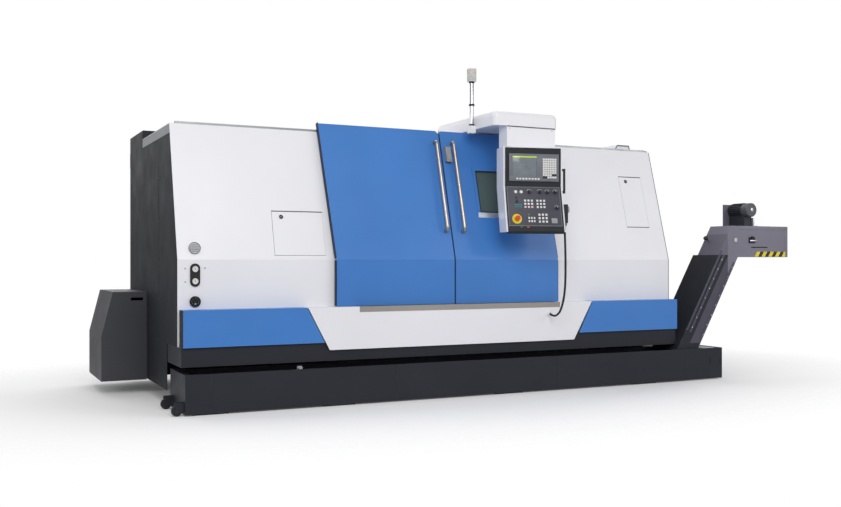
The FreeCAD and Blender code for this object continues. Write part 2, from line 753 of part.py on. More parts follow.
# ---------------------------------------------------------------- tailstock
tail_block = along_x([on_bed(tail_t[0], slide_base), on_bed(tail_t[1], slide_base),
                      on_bed(tail_t[1], tail_foot_h), on_bed(tail_column_t[1], tail_neck_h),
                      on_bed(tail_column_t[1], tail_top_h), on_bed(tail_column_t[0], tail_top_h),
                      on_bed(tail_column_t[0], tail_neck_h), on_bed(tail_t[0], tail_foot_h)], tail_x)
quill_line = [V(x, spindle_y, spindle_z) for x in quill_x]
quill_depth = quill_x[1] + quill_hole_spare
quill_hole = rod(V(tail_x[0], spindle_y, spindle_z), V(quill_depth, spindle_y, spindle_z),
                 quill_radius + running_gap)
save("tailstock_body", tail_block.cut(quill_hole))
shank_hole = rod(quill_line[0], V(quill_x[0] + centre_shank, spindle_y, spindle_z),
                 centre_shank_radius + running_gap)
save("tailstock_quill", rod(quill_line[0], quill_line[1], quill_radius).cut(shank_hole))
centre_face_x = quill_x[0] - shoe_gap
centre_body = rod(V(centre_face_x - centre_length, spindle_y, spindle_z), V(centre_face_x, spindle_y, spindle_z),
                  centre_radius)
centre_cone = Part.makeCone(centre_radius * 0.7, 1, centre_point,
                            V(centre_face_x - centre_length, spindle_y, spindle_z), V(-1, 0, 0))
centre_pin = rod(V(centre_face_x, spindle_y, spindle_z),
                 V(quill_x[0] + centre_shank - 1, spindle_y, spindle_z), centre_shank_radius)
save("live_centre", joined([centre_body, centre_cone, centre_pin]))

# ---------------------------------------------------------------- walls of the work area
liner_z = (cover_bottom_z, cover_top_z)
liner_front = [(front_y(z, -sheet), z) for z in (liner_z[0], waist_z, liner_z[1])]
liner_outline = liner_front + [(bed_rear_y, liner_z[1]), (bed_rear_y, liner_z[0])]
left_wall = along_x(liner_outline, (head_x[1], head_x[1] + sheet)).cut(bed_block)
left_wall = left_wall.cut(rod(V(head_x[1], spindle_y, spindle_z), V(head_x[1] + sheet, spindle_y, spindle_z),
                              spindle_nose_radius + 6))
set_back = sheet + access_fold + access_gap
right_outline = [(front_y(z, -set_back), z) for z in (liner_z[0], waist_z, liner_z[1])]
right_outline += [(bed_rear_y, liner_z[1]), (bed_rear_y, liner_z[0])]
right_wall = along_x(right_outline, (bed_half_length - sheet, bed_half_length)).cut(bed_block)
rear_wall = box((head_x[1], bed_half_length), (bed_rear_y, bed_rear_y + sheet),
                (bed_shoulder_z - 100, liner_z[1]))
save("work_area_walls", group([left_wall, right_wall, rear_wall]))

# ---------------------------------------------------------------- sliding doors
top_rail_y = (-722, -702)
top_rail_height = 18
top_rail = box(grown((body_left_x, body_right_x), -40), top_rail_y, (roof_top_z, roof_top_z + top_rail_height))
save("door_top_rail", top_rail)
hanger_width = 60


def door_hanger(x):
    """Bracket from the door's back over the top rail, with a lip down behind the rail."""
    rail_top = roof_top_z + top_rail_height
    plate_z = (rail_top + shoe_gap, rail_top + shoe_gap + 8)
    start = front_y(plate_z[1], door_proud) + door_skin / 2
    plate = box((x, x + hanger_width), (start, top_rail_y[1] + 6), plate_z)
    lip = box((x, x + hanger_width), (top_rail_y[1] + shoe_gap, top_rail_y[1] + 6),
              (roof_top_z + shoe_gap, plate_z[0]))
    return [plate, lip]


def door_shoe(x):
    """Glide block between the door's bottom edge and the sill rail."""
    start = cover_front_y - door_proud
    return box((x, x + hanger_width), (start + 5, start + door_depth - 5), (skirt_top_z + shoe_gap, door_bottom_z))


front_clear = 150             # from the door's skin to past every front face


def door_pan(outline, hangers_x, shoes_x):
    """Door skin with folded edges all round, open at the back."""
    x_all = [x for x, z in outline]
    x_span = (min(x_all) - 1, max(x_all) + 1)
    z_span = (door_bottom_z, door_top_z)
    far = (cover_front_y - door_proud - front_clear, body_rear_y)
    slab = leaning(x_span, z_span, door_proud, door_depth).common(along_y(outline, far))
    wire = Part.makePolygon([V(x, far[0], z) for x, z in outline + outline[:1]])
    inner = Part.Face(wire).makeOffset2D(-door_skin, 2).extrude(V(0, far[1] - far[0], 0))
    hollow = leaning(x_span, z_span, door_proud - door_skin, door_depth).common(inner)
    pan = slab.cut(hollow)
    fittings = [door_shoe(x) for x in shoes_x]
    for x in hangers_x:
        fittings += door_hanger(x)
    return joined([pan] + fittings)


seam = (door_seam_x - door_seam_gap / 2, door_seam_x + door_seam_gap / 2)
left_outline = [(left_door_edge_x, door_bottom_z), (seam[0], door_bottom_z),
                (seam[0], door_top_z - door_corner), (seam[0] - door_corner, door_top_z),
                (left_door_edge_x - left_door_flare, door_top_z), (left_door_edge_x, waist_z)]
right_outline = [(seam[1], door_bottom_z), (right_door_edge_x, door_bottom_z),
                 (right_door_edge_x, door_top_z), (seam[1] + door_corner, door_top_z),
                 (seam[1], door_top_z - door_corner)]
left_hanger_inset = (40, 160)
left_shoe_inset = (200, 120)
right_hanger_inset = (100, 100)
right_shoe_inset = (60, 160)
left_door = door_pan(left_outline, (left_door_edge_x + left_hanger_inset[0], seam[0] - left_hanger_inset[1]),
                     (left_door_edge_x + left_shoe_inset[0], seam[0] - left_shoe_inset[1]))
right_door = door_pan(right_outline, (seam[1] + right_hanger_inset[0], right_door_edge_x - right_hanger_inset[1]),
                      (seam[1] + right_shoe_inset[0], right_door_edge_x - right_shoe_inset[1]))
window_x = (window_left_x, window_left_x + window_width)
window_z = (window_bottom_z, window_top_z)
frame_slab = leaning(grown(window_x, window_frame_width), grown(window_z, window_frame_width),
                     door_proud + window_frame_proud, door_depth)
through = leaning(window_x, window_z, door_proud + door_depth, door_depth * 3)
right_door = joined([right_door, frame_slab]).cut(through)
save("left_door", left_door)
glass_recess = 8
glass = leaning(window_x, window_z, door_proud - glass_recess, glass_thickness)
save("window_glass", glass)


def door_handle(x):
    """Tube bowed out from the door, with a foot at each end standing square on the leaning face."""
    bend = handle_radius * 2.2
    low = V(x, front_y(handle_bottom_z, door_proud), handle_bottom_z)
    high = V(x, front_y(handle_top_z, door_proud), handle_top_z)
    along = high.sub(low)
    along.normalize()
    out = V(0, -along.z, along.y)
    stand = out * handle_stand
    corner_low = low + stand
    corner_high = high + stand
    quarter = 1 - root2
    a0, a1 = low, corner_low - out * bend
    a2 = corner_low + along * bend
    a_mid = corner_low + (along - out) * (bend * quarter)
    b0 = corner_high - along * bend
    b1 = corner_high - out * bend
    b_mid = corner_high - (along + out) * (bend * quarter)
    edges = [Part.LineSegment(a0, a1), Part.Arc(a1, a_mid, a2), Part.LineSegment(a2, b0),
             Part.Arc(b0, b_mid, b1), Part.LineSegment(b1, high)]
    path = Part.Wire([edge.toShape() for edge in edges])
    profile = Part.Wire(Part.makeCircle(handle_radius, low, out))
    return path.makePipeShell([profile], True, False)


save("left_door_handle", door_handle(left_handle_x))
interlock_z = 1985
interlock_x = (right_handle_x - handle_radius - 12 - interlock_size[0], right_handle_x - handle_radius - 12)
interlock = leaning(interlock_x, (interlock_z - interlock_size[2] / 2, interlock_z + interlock_size[2] / 2),
                    door_proud + interlock_size[1], interlock_size[1])
save("right_door_handle", group([door_handle(right_handle_x), interlock]))
save("right_door", right_door)

# ---------------------------------------------------------------- access doors and gauges


def squared_slab(x, z, start, end, inset):
    """Slab between two depths behind the leaning covers, with its ends square to the lean."""
    foot = V(0, front_y(z[0], 0), z[0])
    head = V(0, front_y(z[1], 0), z[1])
    up = head.sub(foot)
    up.normalize()
    inward = V(0, up.z, -up.y)
    corners = [foot + up * inset + inward * start, head - up * inset + inward * start,
               head - up * inset + inward * end, foot + up * inset + inward * end]
    return along_x([(corner.y, corner.z) for corner in corners], x)


def access_door(x, z):
    """Small folded door flush in its cover, hinged on its rolled right edge, with a keyed lock."""
    inner_x = (x[0] + access_gap, x[1] - access_hinge_gap)
    inner_z = grown(z, -access_gap)
    leaf = squared_slab(inner_x, inner_z, 0, access_fold, 0)
    front_right = [e for e in leaf.Edges
                   if all(abs(v.X - inner_x[1]) < 0.01 and abs(v.Y - front_y(v.Z, 0)) < 0.01 for v in e.Vertexes)]
    leaf = leaf.makeFillet(access_roll, front_right)
    leaf = leaf.cut(squared_slab(grown(inner_x, -sheet), inner_z, sheet, access_fold + 1, sheet))
    lock_x = inner_x[0] + lock_inset[0]
    lock_z = inner_z[1] - lock_inset[1]
    face = V(lock_x, front_y(lock_z, 0), lock_z)
    out = V(0, -1, lean)
    out.normalize()
    lock = rod(face - out * 14, face + out * 3, lock_radius)
    return joined([leaf, lock])


save("left_access_door", access_door(left_access_x, left_access_z))
save("right_access_door", access_door(right_access_x, right_access_z))

face_y = cover_front_y
upper_out = V(0, -1, lean)
upper_out.normalize()
vent_face = V(gauge_x, front_y(vent_z, 0), vent_z)
vent = rod(vent_face, vent_face + upper_out * (gauge_proud - 4), vent_radius)
plate = box((gauge_x - plate_width / 2, gauge_x + plate_width / 2), (face_y - gauge_proud + 4, face_y),
            (plate_z - plate_height / 2, plate_z + plate_height / 2))
plate = plate.makeFillet(plate_width * 0.49, [e for e in plate.Edges if abs(e.tangentAt(e.FirstParameter).y) > 0.99])
dials = [rod(V(gauge_x, face_y - gauge_proud + 4, plate_z + s * dial_spacing / 2),
             V(gauge_x, face_y - gauge_proud, plate_z + s * dial_spacing / 2), dial_radius) for s in (-1, 1)]
round_gauge = ring(V(gauge_x, face_y - gauge_proud, round_gauge_z), V(gauge_x, face_y, round_gauge_z),
                   round_gauge_radius, round_gauge_radius - 9)
round_face = rod(V(gauge_x, face_y - gauge_proud + 5, round_gauge_z), V(gauge_x, face_y, round_gauge_z),
                 round_gauge_radius - 9)
save("front_gauges", group([vent, joined([plate] + dials), joined([round_gauge, round_face])]))

# ---------------------------------------------------------------- overhead arm and hanger


def soft_box(x, y, z, radius):
    """Box with its upright and top edges rounded."""
    block = box(x, y, z)
    edges = [e for e in block.Edges
             if abs(e.tangentAt(e.FirstParameter).z) > 0.99 or min(v.Z for v in e.Vertexes) > z[1] - 0.01]
    return block.makeFillet(radius, edges)


arm_block = soft_box(arm_x, arm_y, arm_z, arm_corner)
arm_hollow = soft_box(grown(arm_x, -arm_wall), grown(arm_y, -arm_wall), grown(arm_z, -arm_wall),
                      arm_corner - arm_wall)
arm_foot_x = grown(arm_x, -120)
arm_foot = box(arm_foot_x, arm_foot_y, (roof_top_z, arm_z[0] + 1))
hanger = box(hanger_x, hanger_y, (hanger_bottom_z, arm_z[0] + 1))
hanger_hollow = box(grown(hanger_x, -arm_wall), grown(hanger_y, -arm_wall),
                    (hanger_bottom_z + hanger_floor, arm_z[0] + arm_wall + 1))
hanger_hole = rod(V(swivel_x, swivel_y, hanger_bottom_z), V(swivel_x, swivel_y, hanger_bottom_z + hanger_floor),
                  post_radius + running_gap)
arm = joined([arm_block, arm_foot, hanger]).cut(arm_hollow).cut(hanger_hollow).cut(hanger_hole)
save("overhead_arm", arm)

# ---------------------------------------------------------------- operator panel, in its own frame at the swivel


def at_panel(shape):
    """Turn and move a shape from the panel's own frame to its place."""
    placed = shape.copy()
    placed.rotate(V(0, 0, 0), axis_z, panel_turn_deg)
    placed.translate(V(swivel_x, swivel_y, 0))
    return placed


def panel_point(point):
    """A point of the panel's own frame, in its place."""
    return at_panel(Part.Vertex(point)).Point


kick_slope = panel_kick / (panel_kink_z - panel_bottom_z)
kick_angle = math.atan(kick_slope)


def panel_profile(front, back, z):
    """(y, z) outline of the panel's side, upright above the kink and leaning out below it."""
    def shift(level):
        return kick_slope * max(0, panel_kink_z - level)
    levels = [z[1], panel_kink_z, z[0]]
    ahead = [(front - shift(level), level) for level in levels]
    behind = [(back - shift(level), level) for level in reversed(levels)]
    return ahead + behind


panel_z = (panel_bottom_z, panel_top_z)
half = panel_width / 2
housing_outer = along_x(panel_profile(panel_front, panel_back, panel_z), (-half, half))
housing_inner = along_x(panel_profile(panel_front + panel_wall, panel_back - panel_wall, grown(panel_z, -panel_wall)),
                        (-half + panel_wall, half - panel_wall))
front_mouth = along_x(panel_profile(panel_front - 1, panel_front + panel_wall + 1, grown(panel_z, -24)),
                      (-half + 30, half - 30))
post = rod(V(0, 0, panel_top_z), V(0, 0, hanger_bottom_z + hanger_floor + shoe_gap), post_radius)
collar = rod(V(0, 0, hanger_bottom_z + hanger_floor + shoe_gap),
             V(0, 0, hanger_bottom_z + hanger_floor + shoe_gap + post_collar), post_radius + collar_rim)
housing = joined([housing_outer, post, collar]).cut(housing_inner).cut(front_mouth)
save("panel_housing", at_panel(housing))

fascia_half = fascia_width / 2
lip_y = panel_front - panel_kick - fascia_thickness
lip_z = (panel_bottom_z - 14, panel_bottom_z)
fascia_outline = panel_profile(panel_front - fascia_thickness, panel_front, grown(panel_z, -6))
lip_outline = [(lip_y + 8, lip_z[0]), (lip_y + 60, lip_z[0]), (lip_y + 60, lip_z[1]),
               (panel_front - panel_kick, lip_z[1])]
fascia = along_x(fascia_outline[:3] + lip_outline + fascia_outline[3:], (-fascia_half, fascia_half))
control_unit = box(unit_x, (panel_front - fascia_thickness - unit_proud, panel_front - fascia_thickness), unit_z)
lower_height = panel_kink_z - panel_bottom_z


def lower_frame(x, share):
    """Point on the leaning lower fascia and its outward direction; share runs from the kink down."""
    z = panel_kink_z - share * lower_height
    y = panel_front - fascia_thickness - kick_slope * (panel_kink_z - z)
    out = V(0, -math.cos(kick_angle), -math.sin(kick_angle) * -1)
    return V(x, y, z), out


def on_lower(x, share, start, end, radius):
    """Round piece standing square on the lower fascia between two heights above it."""
    point, out = lower_frame(x, share)
    return rod(point + out * start, point + out * end, radius)


stem_depth = fascia_thickness + 3
stem_radius = 4
estop_base = on_lower(estop_x, estop_row, 0, 3, estop_plate / 2)
fascia = joined([fascia, control_unit, estop_base])
moving = [(x, knob_row) for x in knob_x[:2]] + [(x, knob_row) for x in button_x] + [(estop_x, estop_row)]
for x, share in moving:
    fascia = fascia.cut(on_lower(x, share, -stem_depth - 3, 4, stem_radius + running_gap))
fixed_knobs = [on_lower(x, knob_row, -1, knob_height, knob_radius) for x in knob_x[2:]]
fixed_knobs.append(on_lower(lower_knob_x, lower_knob_row, -1, knob_height, knob_radius))
save("panel_fascia", at_panel(joined([fascia] + fixed_knobs)))


def panel_knob(x):
    cap = on_lower(x, knob_row, shoe_gap, knob_height, knob_radius)
    stem = on_lower(x, knob_row, -stem_depth + 1, shoe_gap, stem_radius)
    point, out = lower_frame(x, knob_row)
    ridge = on_lower(x, knob_row, knob_height, knob_height + 4, knob_radius * 0.45)
    return joined([cap, stem, ridge])


save("mode_knob", at_panel(panel_knob(knob_x[0])))
save("feed_override_knob", at_panel(panel_knob(knob_x[1])))
button_travel = 3
for name, x in (("cycle_start_button", button_x[0]), ("feed_hold_button", button_x[1])):
    cap = on_lower(x, knob_row, button_travel + shoe_gap, button_height, button_radius)
    stem = on_lower(x, knob_row, -stem_depth + button_travel + 1, button_travel + shoe_gap, stem_radius)
    save(name, at_panel(joined([cap, stem])))
estop_travel = 5
estop_cap = on_lower(estop_x, estop_row, 3 + estop_travel + 14, 3 + estop_travel + 28, estop_radius)
estop_neck = on_lower(estop_x, estop_row, 3 + estop_travel + shoe_gap, 3 + estop_travel + 14, estop_radius * 0.6)
estop_stem = on_lower(estop_x, estop_row, -stem_depth + estop_travel + 1, 3 + estop_travel + shoe_gap, stem_radius)
save("emergency_stop", at_panel(joined([estop_cap, estop_neck, estop_stem])))

# Grab bar and hand pulse generator on the panel's right side
grab_y = panel_front + 40
grab_x = half + 34
bar = [rod(V(half, grab_y, z), V(grab_x, grab_y, z), grab_radius) for z in grab_z]
bar.append(rod(V(grab_x, grab_y, grab_z[0] - grab_radius), V(grab_x, grab_y, grab_z[1] + grab_radius), grab_radius))
unit_centre_z = (hand_unit_z[0] + hand_unit_z[1]) / 2
unit_shift = kick_slope * (panel_kink_z - unit_centre_z)
unit_y = (panel_front - unit_shift + 4, panel_front - unit_shift + 4 + hand_unit_depth)
hand_unit = box((half, half + hand_unit_thickness), unit_y, hand_unit_z)
wheel_y = (unit_y[0] + unit_y[1]) / 2
wheel_z = hand_unit_z[1] - handwheel_radius - 14
wheel_x = half + hand_unit_thickness
wheel_bore = rod(V(wheel_x - 16, wheel_y, wheel_z), V(wheel_x, wheel_y, wheel_z), 5 + running_gap)
hand_gland_end = V(half + hand_unit_thickness / 2, wheel_y, hand_unit_z[0] - gland_length)
hand_gland = rod(hand_gland_end, hand_gland_end + V(0, 0, gland_length), gland_radius)
save("hand_unit", at_panel(group([joined(bar), joined([hand_unit, hand_gland]).cut(wheel_bore)])))
wheel = rod(V(wheel_x + shoe_gap, wheel_y, wheel_z), V(wheel_x + 14, wheel_y, wheel_z), handwheel_radius)
crank = rod(V(wheel_x + 14, wheel_y + handwheel_radius * 0.6, wheel_z),
            V(wheel_x + 28, wheel_y + handwheel_radius * 0.6, wheel_z), 5)
axle = rod(V(wheel_x - 15, wheel_y, wheel_z), V(wheel_x + shoe_gap, wheel_y, wheel_z), 5)
save("handwheel", at_panel(joined([wheel, crank, axle])))

# ---------------------------------------------------------------- signal lamp
bracket = box((lamp_x - lamp_bracket_half, arm_x[0]), (lamp_y - lamp_bracket_half, lamp_y + lamp_bracket_half),
              lamp_bracket_z)
pole = rod(V(lamp_x, lamp_y, lamp_bracket_z[1]), V(lamp_x, lamp_y, lamp_pole_top_z), lamp_pole_radius)
lamp_head = rod(V(lamp_x, lamp_y, lamp_pole_top_z), V(lamp_x, lamp_y, lamp_head_top_z), lamp_head_radius)
save("signal_lamp", joined([bracket, pole, lamp_head]))

# ---------------------------------------------------------------- coolant tank, pads and casters
trough_gap = 2
tilt = math.tan(math.radians(incline_deg))
casing_run = casing_depth / math.sin(math.radians(incline_deg))


def under_x(z):
    """X of the incline's underside at height z."""
    return incline_foot_x + (z - conveyor_floor_z) / tilt


def over_x(z):
    """X of the incline's upper face at height z."""
    return under_x(z) - casing_run


trough_left_x = tank_x[0] + 45
trough_top_z = tank_top_z - 5
tank = box(tank_x, tank_y, (tank_bottom_z, tank_top_z))
tank = tank.cut(box(grown(tank_x, -tank_wall), grown(tank_y, -tank_wall), grown((tank_bottom_z, tank_top_z), -tank_wall)))
lid_hole = box((trough_left_x - trough_gap, under_x(tank_top_z) + 6), grown(conveyor_y, trough_gap),
               (tank_top_z - tank_wall, tank_top_z))
pads = [box((x, x + pad_length), grown(tank_y, -12), (0, tank_bottom_z)) for x in pad_x]
caster_ears = []
for y in caster_y:
    for side in (-1, 1):
        ear_y = y + side * (caster_width / 2 + 5)
        ear = box((caster_x - 14, tank_x[0]), (ear_y - 3, ear_y + 3), (caster_radius - 14, caster_radius + 60))
        caster_ears.append(ear)
axle_z = caster_radius + caster_lift
caster_holes = rod(V(caster_x, caster_y[0] - 40, axle_z), V(caster_x, caster_y[1] + 40, axle_z),
                   caster_axle_radius + running_gap)
tank = joined([tank.cut(lid_hole)] + pads + caster_ears).cut(caster_holes)
save("coolant_tank", tank)
wheels = []
for y in caster_y:
    wheel = rod(V(caster_x, y - caster_width / 2, axle_z), V(caster_x, y + caster_width / 2, axle_z), caster_radius)
    axle = rod(V(caster_x, y - caster_width / 2 - 8, axle_z), V(caster_x, y + caster_width / 2 + 8, axle_z),
               caster_axle_radius)
    wheels.append(joined([wheel, axle]))
save("caster_wheels", group(wheels))

# ---------------------------------------------------------------- chip conveyor
head_foot_z = conveyor_floor_z + (head_left_x - incline_foot_x) * tilt
head_shoulder_z = head_foot_z + casing_run * tilt
casing_outline = [(trough_left_x, conveyor_floor_z), (incline_foot_x, conveyor_floor_z),
                  (head_left_x, head_foot_z), (head_left_x, head_shoulder_z),
                  (over_x(trough_top_z), trough_top_z), (trough_left_x, trough_top_z)]
skin_x = conveyor_wall / math.sin(math.radians(incline_deg))
floor_in = conveyor_floor_z + conveyor_wall
casing_inner = [(trough_left_x + conveyor_wall, floor_in), (under_x(floor_in) - skin_x, floor_in),
                (head_left_x + 1, head_foot_z + (1 + skin_x) * tilt), (head_left_x + 1, head_shoulder_z + (1 - skin_x) * tilt),
                (over_x(trough_top_z + 1) + skin_x, trough_top_z + 1), (trough_left_x + conveyor_wall, trough_top_z + 1)]
casing = along_y(casing_outline, conveyor_y).cut(along_y(casing_inner, grown(conveyor_y, -conveyor_wall)))
above_ledge = box((trough_left_x, head_right_x), (upper_back_y, conveyor_y[1] + 1), (ledge_z, head_z[1] + 200))
back_wall = along_y([(under_x(ledge_z), ledge_z), (head_left_x, head_foot_z), (head_left_x, head_shoulder_z),
                     (over_x(ledge_z), ledge_z)], (upper_back_y - conveyor_wall, upper_back_y))
ledge_lid = box((over_x(ledge_z), head_left_x), (upper_back_y - conveyor_wall, conveyor_y[1]),
                (ledge_z - conveyor_wall, ledge_z))
ledge_lid = ledge_lid.common(along_y(casing_outline, conveyor_y))
back_wall = back_wall.common(along_y(casing_outline, conveyor_y))
casing = joined([casing.cut(above_ledge), back_wall, ledge_lid])
save("conveyor_casing", casing)

head_y = (conveyor_y[0], upper_back_y)
head_outline = [(head_left_x, head_foot_z), (under_x(head_z[0]), head_z[0]), (head_right_x, head_z[0]),
                (head_right_x, head_z[1]), (over_x(head_z[1]), head_z[1]), (head_left_x, head_shoulder_z)]
head_face = Part.Face(Part.makePolygon([V(x, head_y[0] + conveyor_wall, z) for x, z in head_outline + head_outline[:1]]))
head_inner = head_face.makeOffset2D(-conveyor_wall, 2).extrude(V(0, head_y[1] - head_y[0] - 2 * conveyor_wall, 0))
head_entry = along_y([(head_left_x - 1, head_foot_z + skin_x * tilt), (head_left_x + conveyor_wall + 2, head_foot_z + skin_x * tilt + 20),
                      (head_left_x + conveyor_wall + 2, head_shoulder_z - 10), (head_left_x - 1, head_shoulder_z - 10)],
                     grown(head_y, -conveyor_wall))
outlet = box(outlet_x, grown(head_y, -40), (head_z[0] - 1, head_z[0] + conveyor_wall + 1))
head_axis_x = under_x(head_axis_z) - casing_run / 2
shaft_hole = rod(V(head_axis_x, head_y[0], head_axis_z), V(head_axis_x, head_y[1], head_axis_z),
                 shaft_radius + running_gap)
discharge_head = along_y(head_outline, head_y).cut(head_inner).cut(head_entry).cut(outlet).cut(shaft_hole)
save("discharge_head", discharge_head)

shaft = rod(V(head_axis_x, head_y[0] - 6, head_axis_z), V(head_axis_x, head_y[1] + 20, head_axis_z), shaft_radius)
sprocket_y = [(head_y[0] + 20, head_y[0] + 30), (head_y[1] - 30, head_y[1] - 20)]
sprockets = [rod(V(head_axis_x, y[0], head_axis_z), V(head_axis_x, y[1], head_axis_z), sprocket_radius)
             for y in sprocket_y]
save("conveyor_head_shaft", joined([shaft] + sprockets))

tail_axis_x = trough_left_x + 120
tail_axis_z = floor_in + sprocket_radius + belt_play + belt_plate + 6
knee_x = head_axis_x - (head_axis_z - tail_axis_z) / tilt


def belt_band(reach):
    """(x, z) face enclosed by a line at this distance from the belt's centre line."""
    half_turn = math.radians(incline_deg) / 2
    bend = reach * math.tan(half_turn)
    rise = math.radians(incline_deg)
    normal = V(-math.sin(rise), 0, math.cos(rise))
    head = V(head_axis_x, 0, head_axis_z)
    tail = V(tail_axis_x, 0, tail_axis_z)
    upper_knee = V(knee_x - bend, 0, tail_axis_z + reach)
    lower_knee = V(knee_x + bend, 0, tail_axis_z - reach)
    ahead = V(math.cos(rise), 0, math.sin(rise))
    edges = [Part.LineSegment(tail + V(0, 0, reach), upper_knee),
             Part.LineSegment(upper_knee, head + normal * reach),
             Part.Arc(head + normal * reach, head + ahead * reach, head - normal * reach),
             Part.LineSegment(head - normal * reach, lower_knee),
             Part.LineSegment(lower_knee, tail - V(0, 0, reach)),
             Part.Arc(tail - V(0, 0, reach), tail - V(reach, 0, 0), tail + V(0, 0, reach))]
    return Part.Face(Part.Wire([edge.toShape() for edge in edges]))


belt_inner = belt_band(sprocket_radius + belt_play)
belt_outer = belt_band(sprocket_radius + belt_play + belt_plate)
belt_y = (head_y[0] + 14, head_y[1] - 14)
chip_belt = belt_outer.cut(belt_inner).extrude(V(0, belt_y[1] - belt_y[0], 0))
chip_belt.translate(V(0, belt_y[0], 0))
save("conveyor_belt", chip_belt)

drum = rod(V(motor_drum_x, motor_drum_y[0], motor_drum_z), V(motor_drum_x, motor_drum_y[1], motor_drum_z),
           motor_drum_radius)
saddle_half = 45
saddle_inset = 40
drum_saddle = box((motor_drum_x - saddle_half, motor_drum_x + saddle_half), grown(motor_drum_y, -saddle_inset),
                  (head_z[1], motor_drum_z))
gear_plate_y = (upper_back_y, upper_back_y + gear_plate_thickness)
gear_plate = box(gear_plate_x, gear_plate_y, gear_plate_z)
plate_link = box((gear_plate_x[0], motor_drum_x), gear_plate_y, (motor_drum_z - 40, motor_drum_z + 40))
save("gearmotor", joined([drum, drum_saddle, gear_plate, plate_link]))

# ---------------------------------------------------------------- free cable of the hand unit


def cable_path(points):
    """Straight runs joined by arcs that touch them, as wide as the runs allow."""
    corners = points
    edges = []
    radii = []
    start = corners[0]
    for i in range(1, len(corners) - 1):
        before = corners[i] - corners[i - 1]
        after = corners[i + 1] - corners[i]
        turn = before.getAngle(after)
        reach = 0.45 * min(before.Length, after.Length)
        radius = reach / math.tan(turn / 2)
        before.normalize()
        after.normalize()
        a = corners[i] - before * reach
        b = corners[i] + after * reach
        inward = after - before
        inward.normalize()
        depth = radius / math.cos(turn / 2) - radius
        middle = corners[i] + inward * depth
        edges.append(Part.LineSegment(start, a).toShape())
        edges.append(Part.Arc(a, middle, b).toShape())
        radii.append(radius)
        start = b
    edges.append(Part.LineSegment(start, corners[-1]).toShape())
    return Part.Wire(edges), radii


cable_start = panel_point(hand_gland_end)
cable_points = [cable_start, cable_start - V(0, 0, cable_exit_run)] + [V(*point) for point in cable_route]
cable_wire, cable_radii = cable_path(cable_points)
profile = Part.Wire(Part.makeCircle(cable_radius, cable_points[0], cable_points[1] - cable_points[0]))
cable = cable_wire.makePipeShell([profile], True, False)
save("hand_unit_cable", cable)
print("cable points", [[round(c, 2) for c in p] for p in cable_points])
print("cable radii", [round(r) for r in cable_radii])
print("cable length", round(cable_wire.Length, 1), "volume ratio",
      round(cable.Volume / (cable_wire.Length * math.pi * cable_radius ** 2), 4), cable.isValid())
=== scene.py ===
import math

import bmesh
import bpy
from mathutils import Matrix, Vector


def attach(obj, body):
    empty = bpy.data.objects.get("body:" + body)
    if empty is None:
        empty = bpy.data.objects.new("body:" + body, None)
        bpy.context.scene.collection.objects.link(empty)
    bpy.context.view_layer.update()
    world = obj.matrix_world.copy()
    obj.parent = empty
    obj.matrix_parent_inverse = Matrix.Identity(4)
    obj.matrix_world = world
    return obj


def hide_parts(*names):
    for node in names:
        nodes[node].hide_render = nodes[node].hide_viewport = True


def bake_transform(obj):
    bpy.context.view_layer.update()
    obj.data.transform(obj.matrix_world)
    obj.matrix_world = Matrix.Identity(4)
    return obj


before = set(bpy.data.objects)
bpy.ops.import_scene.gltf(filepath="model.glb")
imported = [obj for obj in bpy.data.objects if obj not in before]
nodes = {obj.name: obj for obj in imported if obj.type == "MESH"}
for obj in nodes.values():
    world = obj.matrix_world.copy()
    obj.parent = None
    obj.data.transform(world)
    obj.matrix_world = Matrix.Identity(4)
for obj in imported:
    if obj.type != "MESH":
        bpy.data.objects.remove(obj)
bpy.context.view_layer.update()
scene = bpy.context.scene

# ------------------------------------ the machine's main places, in metres
COVER_Y = -1.015  # upright front of the covers
WAIST_Z = 1.105  # above this height the covers lean back
LEAN = 0.28  # by this much per metre of height
DOOR_PROUD = 0.050  # skin of the sliding doors, in front of the covers
HEAD_Y = -1.165  # front of the discharge head and of the incline
INCLINE_RISE = math.radians(60)
INCLINE_X, INCLINE_Z = 2.310, 0.015  # foot of the incline
MOTOR_X, MOTOR_Z = 3.155, 1.580  # axis of the conveyor's motor
GAUGE_U = -2.124  # the left cover's gauges and vent, one above the other

# ------------------------------------ camera
camera_data = bpy.data.cameras.new("camera")
camera_data.sensor_width = 36
camera_data.lens = 41.1
camera_data.shift_y = 0.008
camera = bpy.data.objects.new("camera", camera_data)
camera.location = (-3.717, -7.978, 1.10)
camera.rotation_euler = (math.pi / 2, 0, -math.atan2(0.440, 0.898))
scene.collection.objects.link(camera)
scene.camera = camera
scene.view_settings.view_transform = "Standard"

# ------------------------------------ materials
# Noises as (scale, detail) or (scale, detail, roughness)
TONE = (1.7, 4.0)  # slow change of a paint's tone
GLOSS = (5, 5.0)  # uneven gloss of a paint
PEEL = (420, 2.0)  # orange peel
PEEL_DEPTH = 0.0006
SAND = (160, 6.0, 0.7)  # grain of a casting
CAST_TONE = (3, 5.0)
PLASTIC_TONE = (9, 3.0)
PLASTIC_GLOSS = (14, 4.0)
WEAR_PATCHES = (26, 4.0)
WEAR_WIDTH = 0.004


def fill(tree, node, sockets):
    """Link what another node gives to the named sockets, and set the rest as constants."""
    for key, value in sockets.items():
        socket = node.inputs[key]
        if hasattr(value, "links"):
            tree.links.new(value, socket)
        else:
            socket.default_value = (*value, 1) if socket.type == "RGBA" else value


def add(tree, kind, sockets, **values):
    node = tree.nodes.new(kind)
    for key, value in values.items():
        setattr(node, key, value)
    fill(tree, node, sockets)
    return node


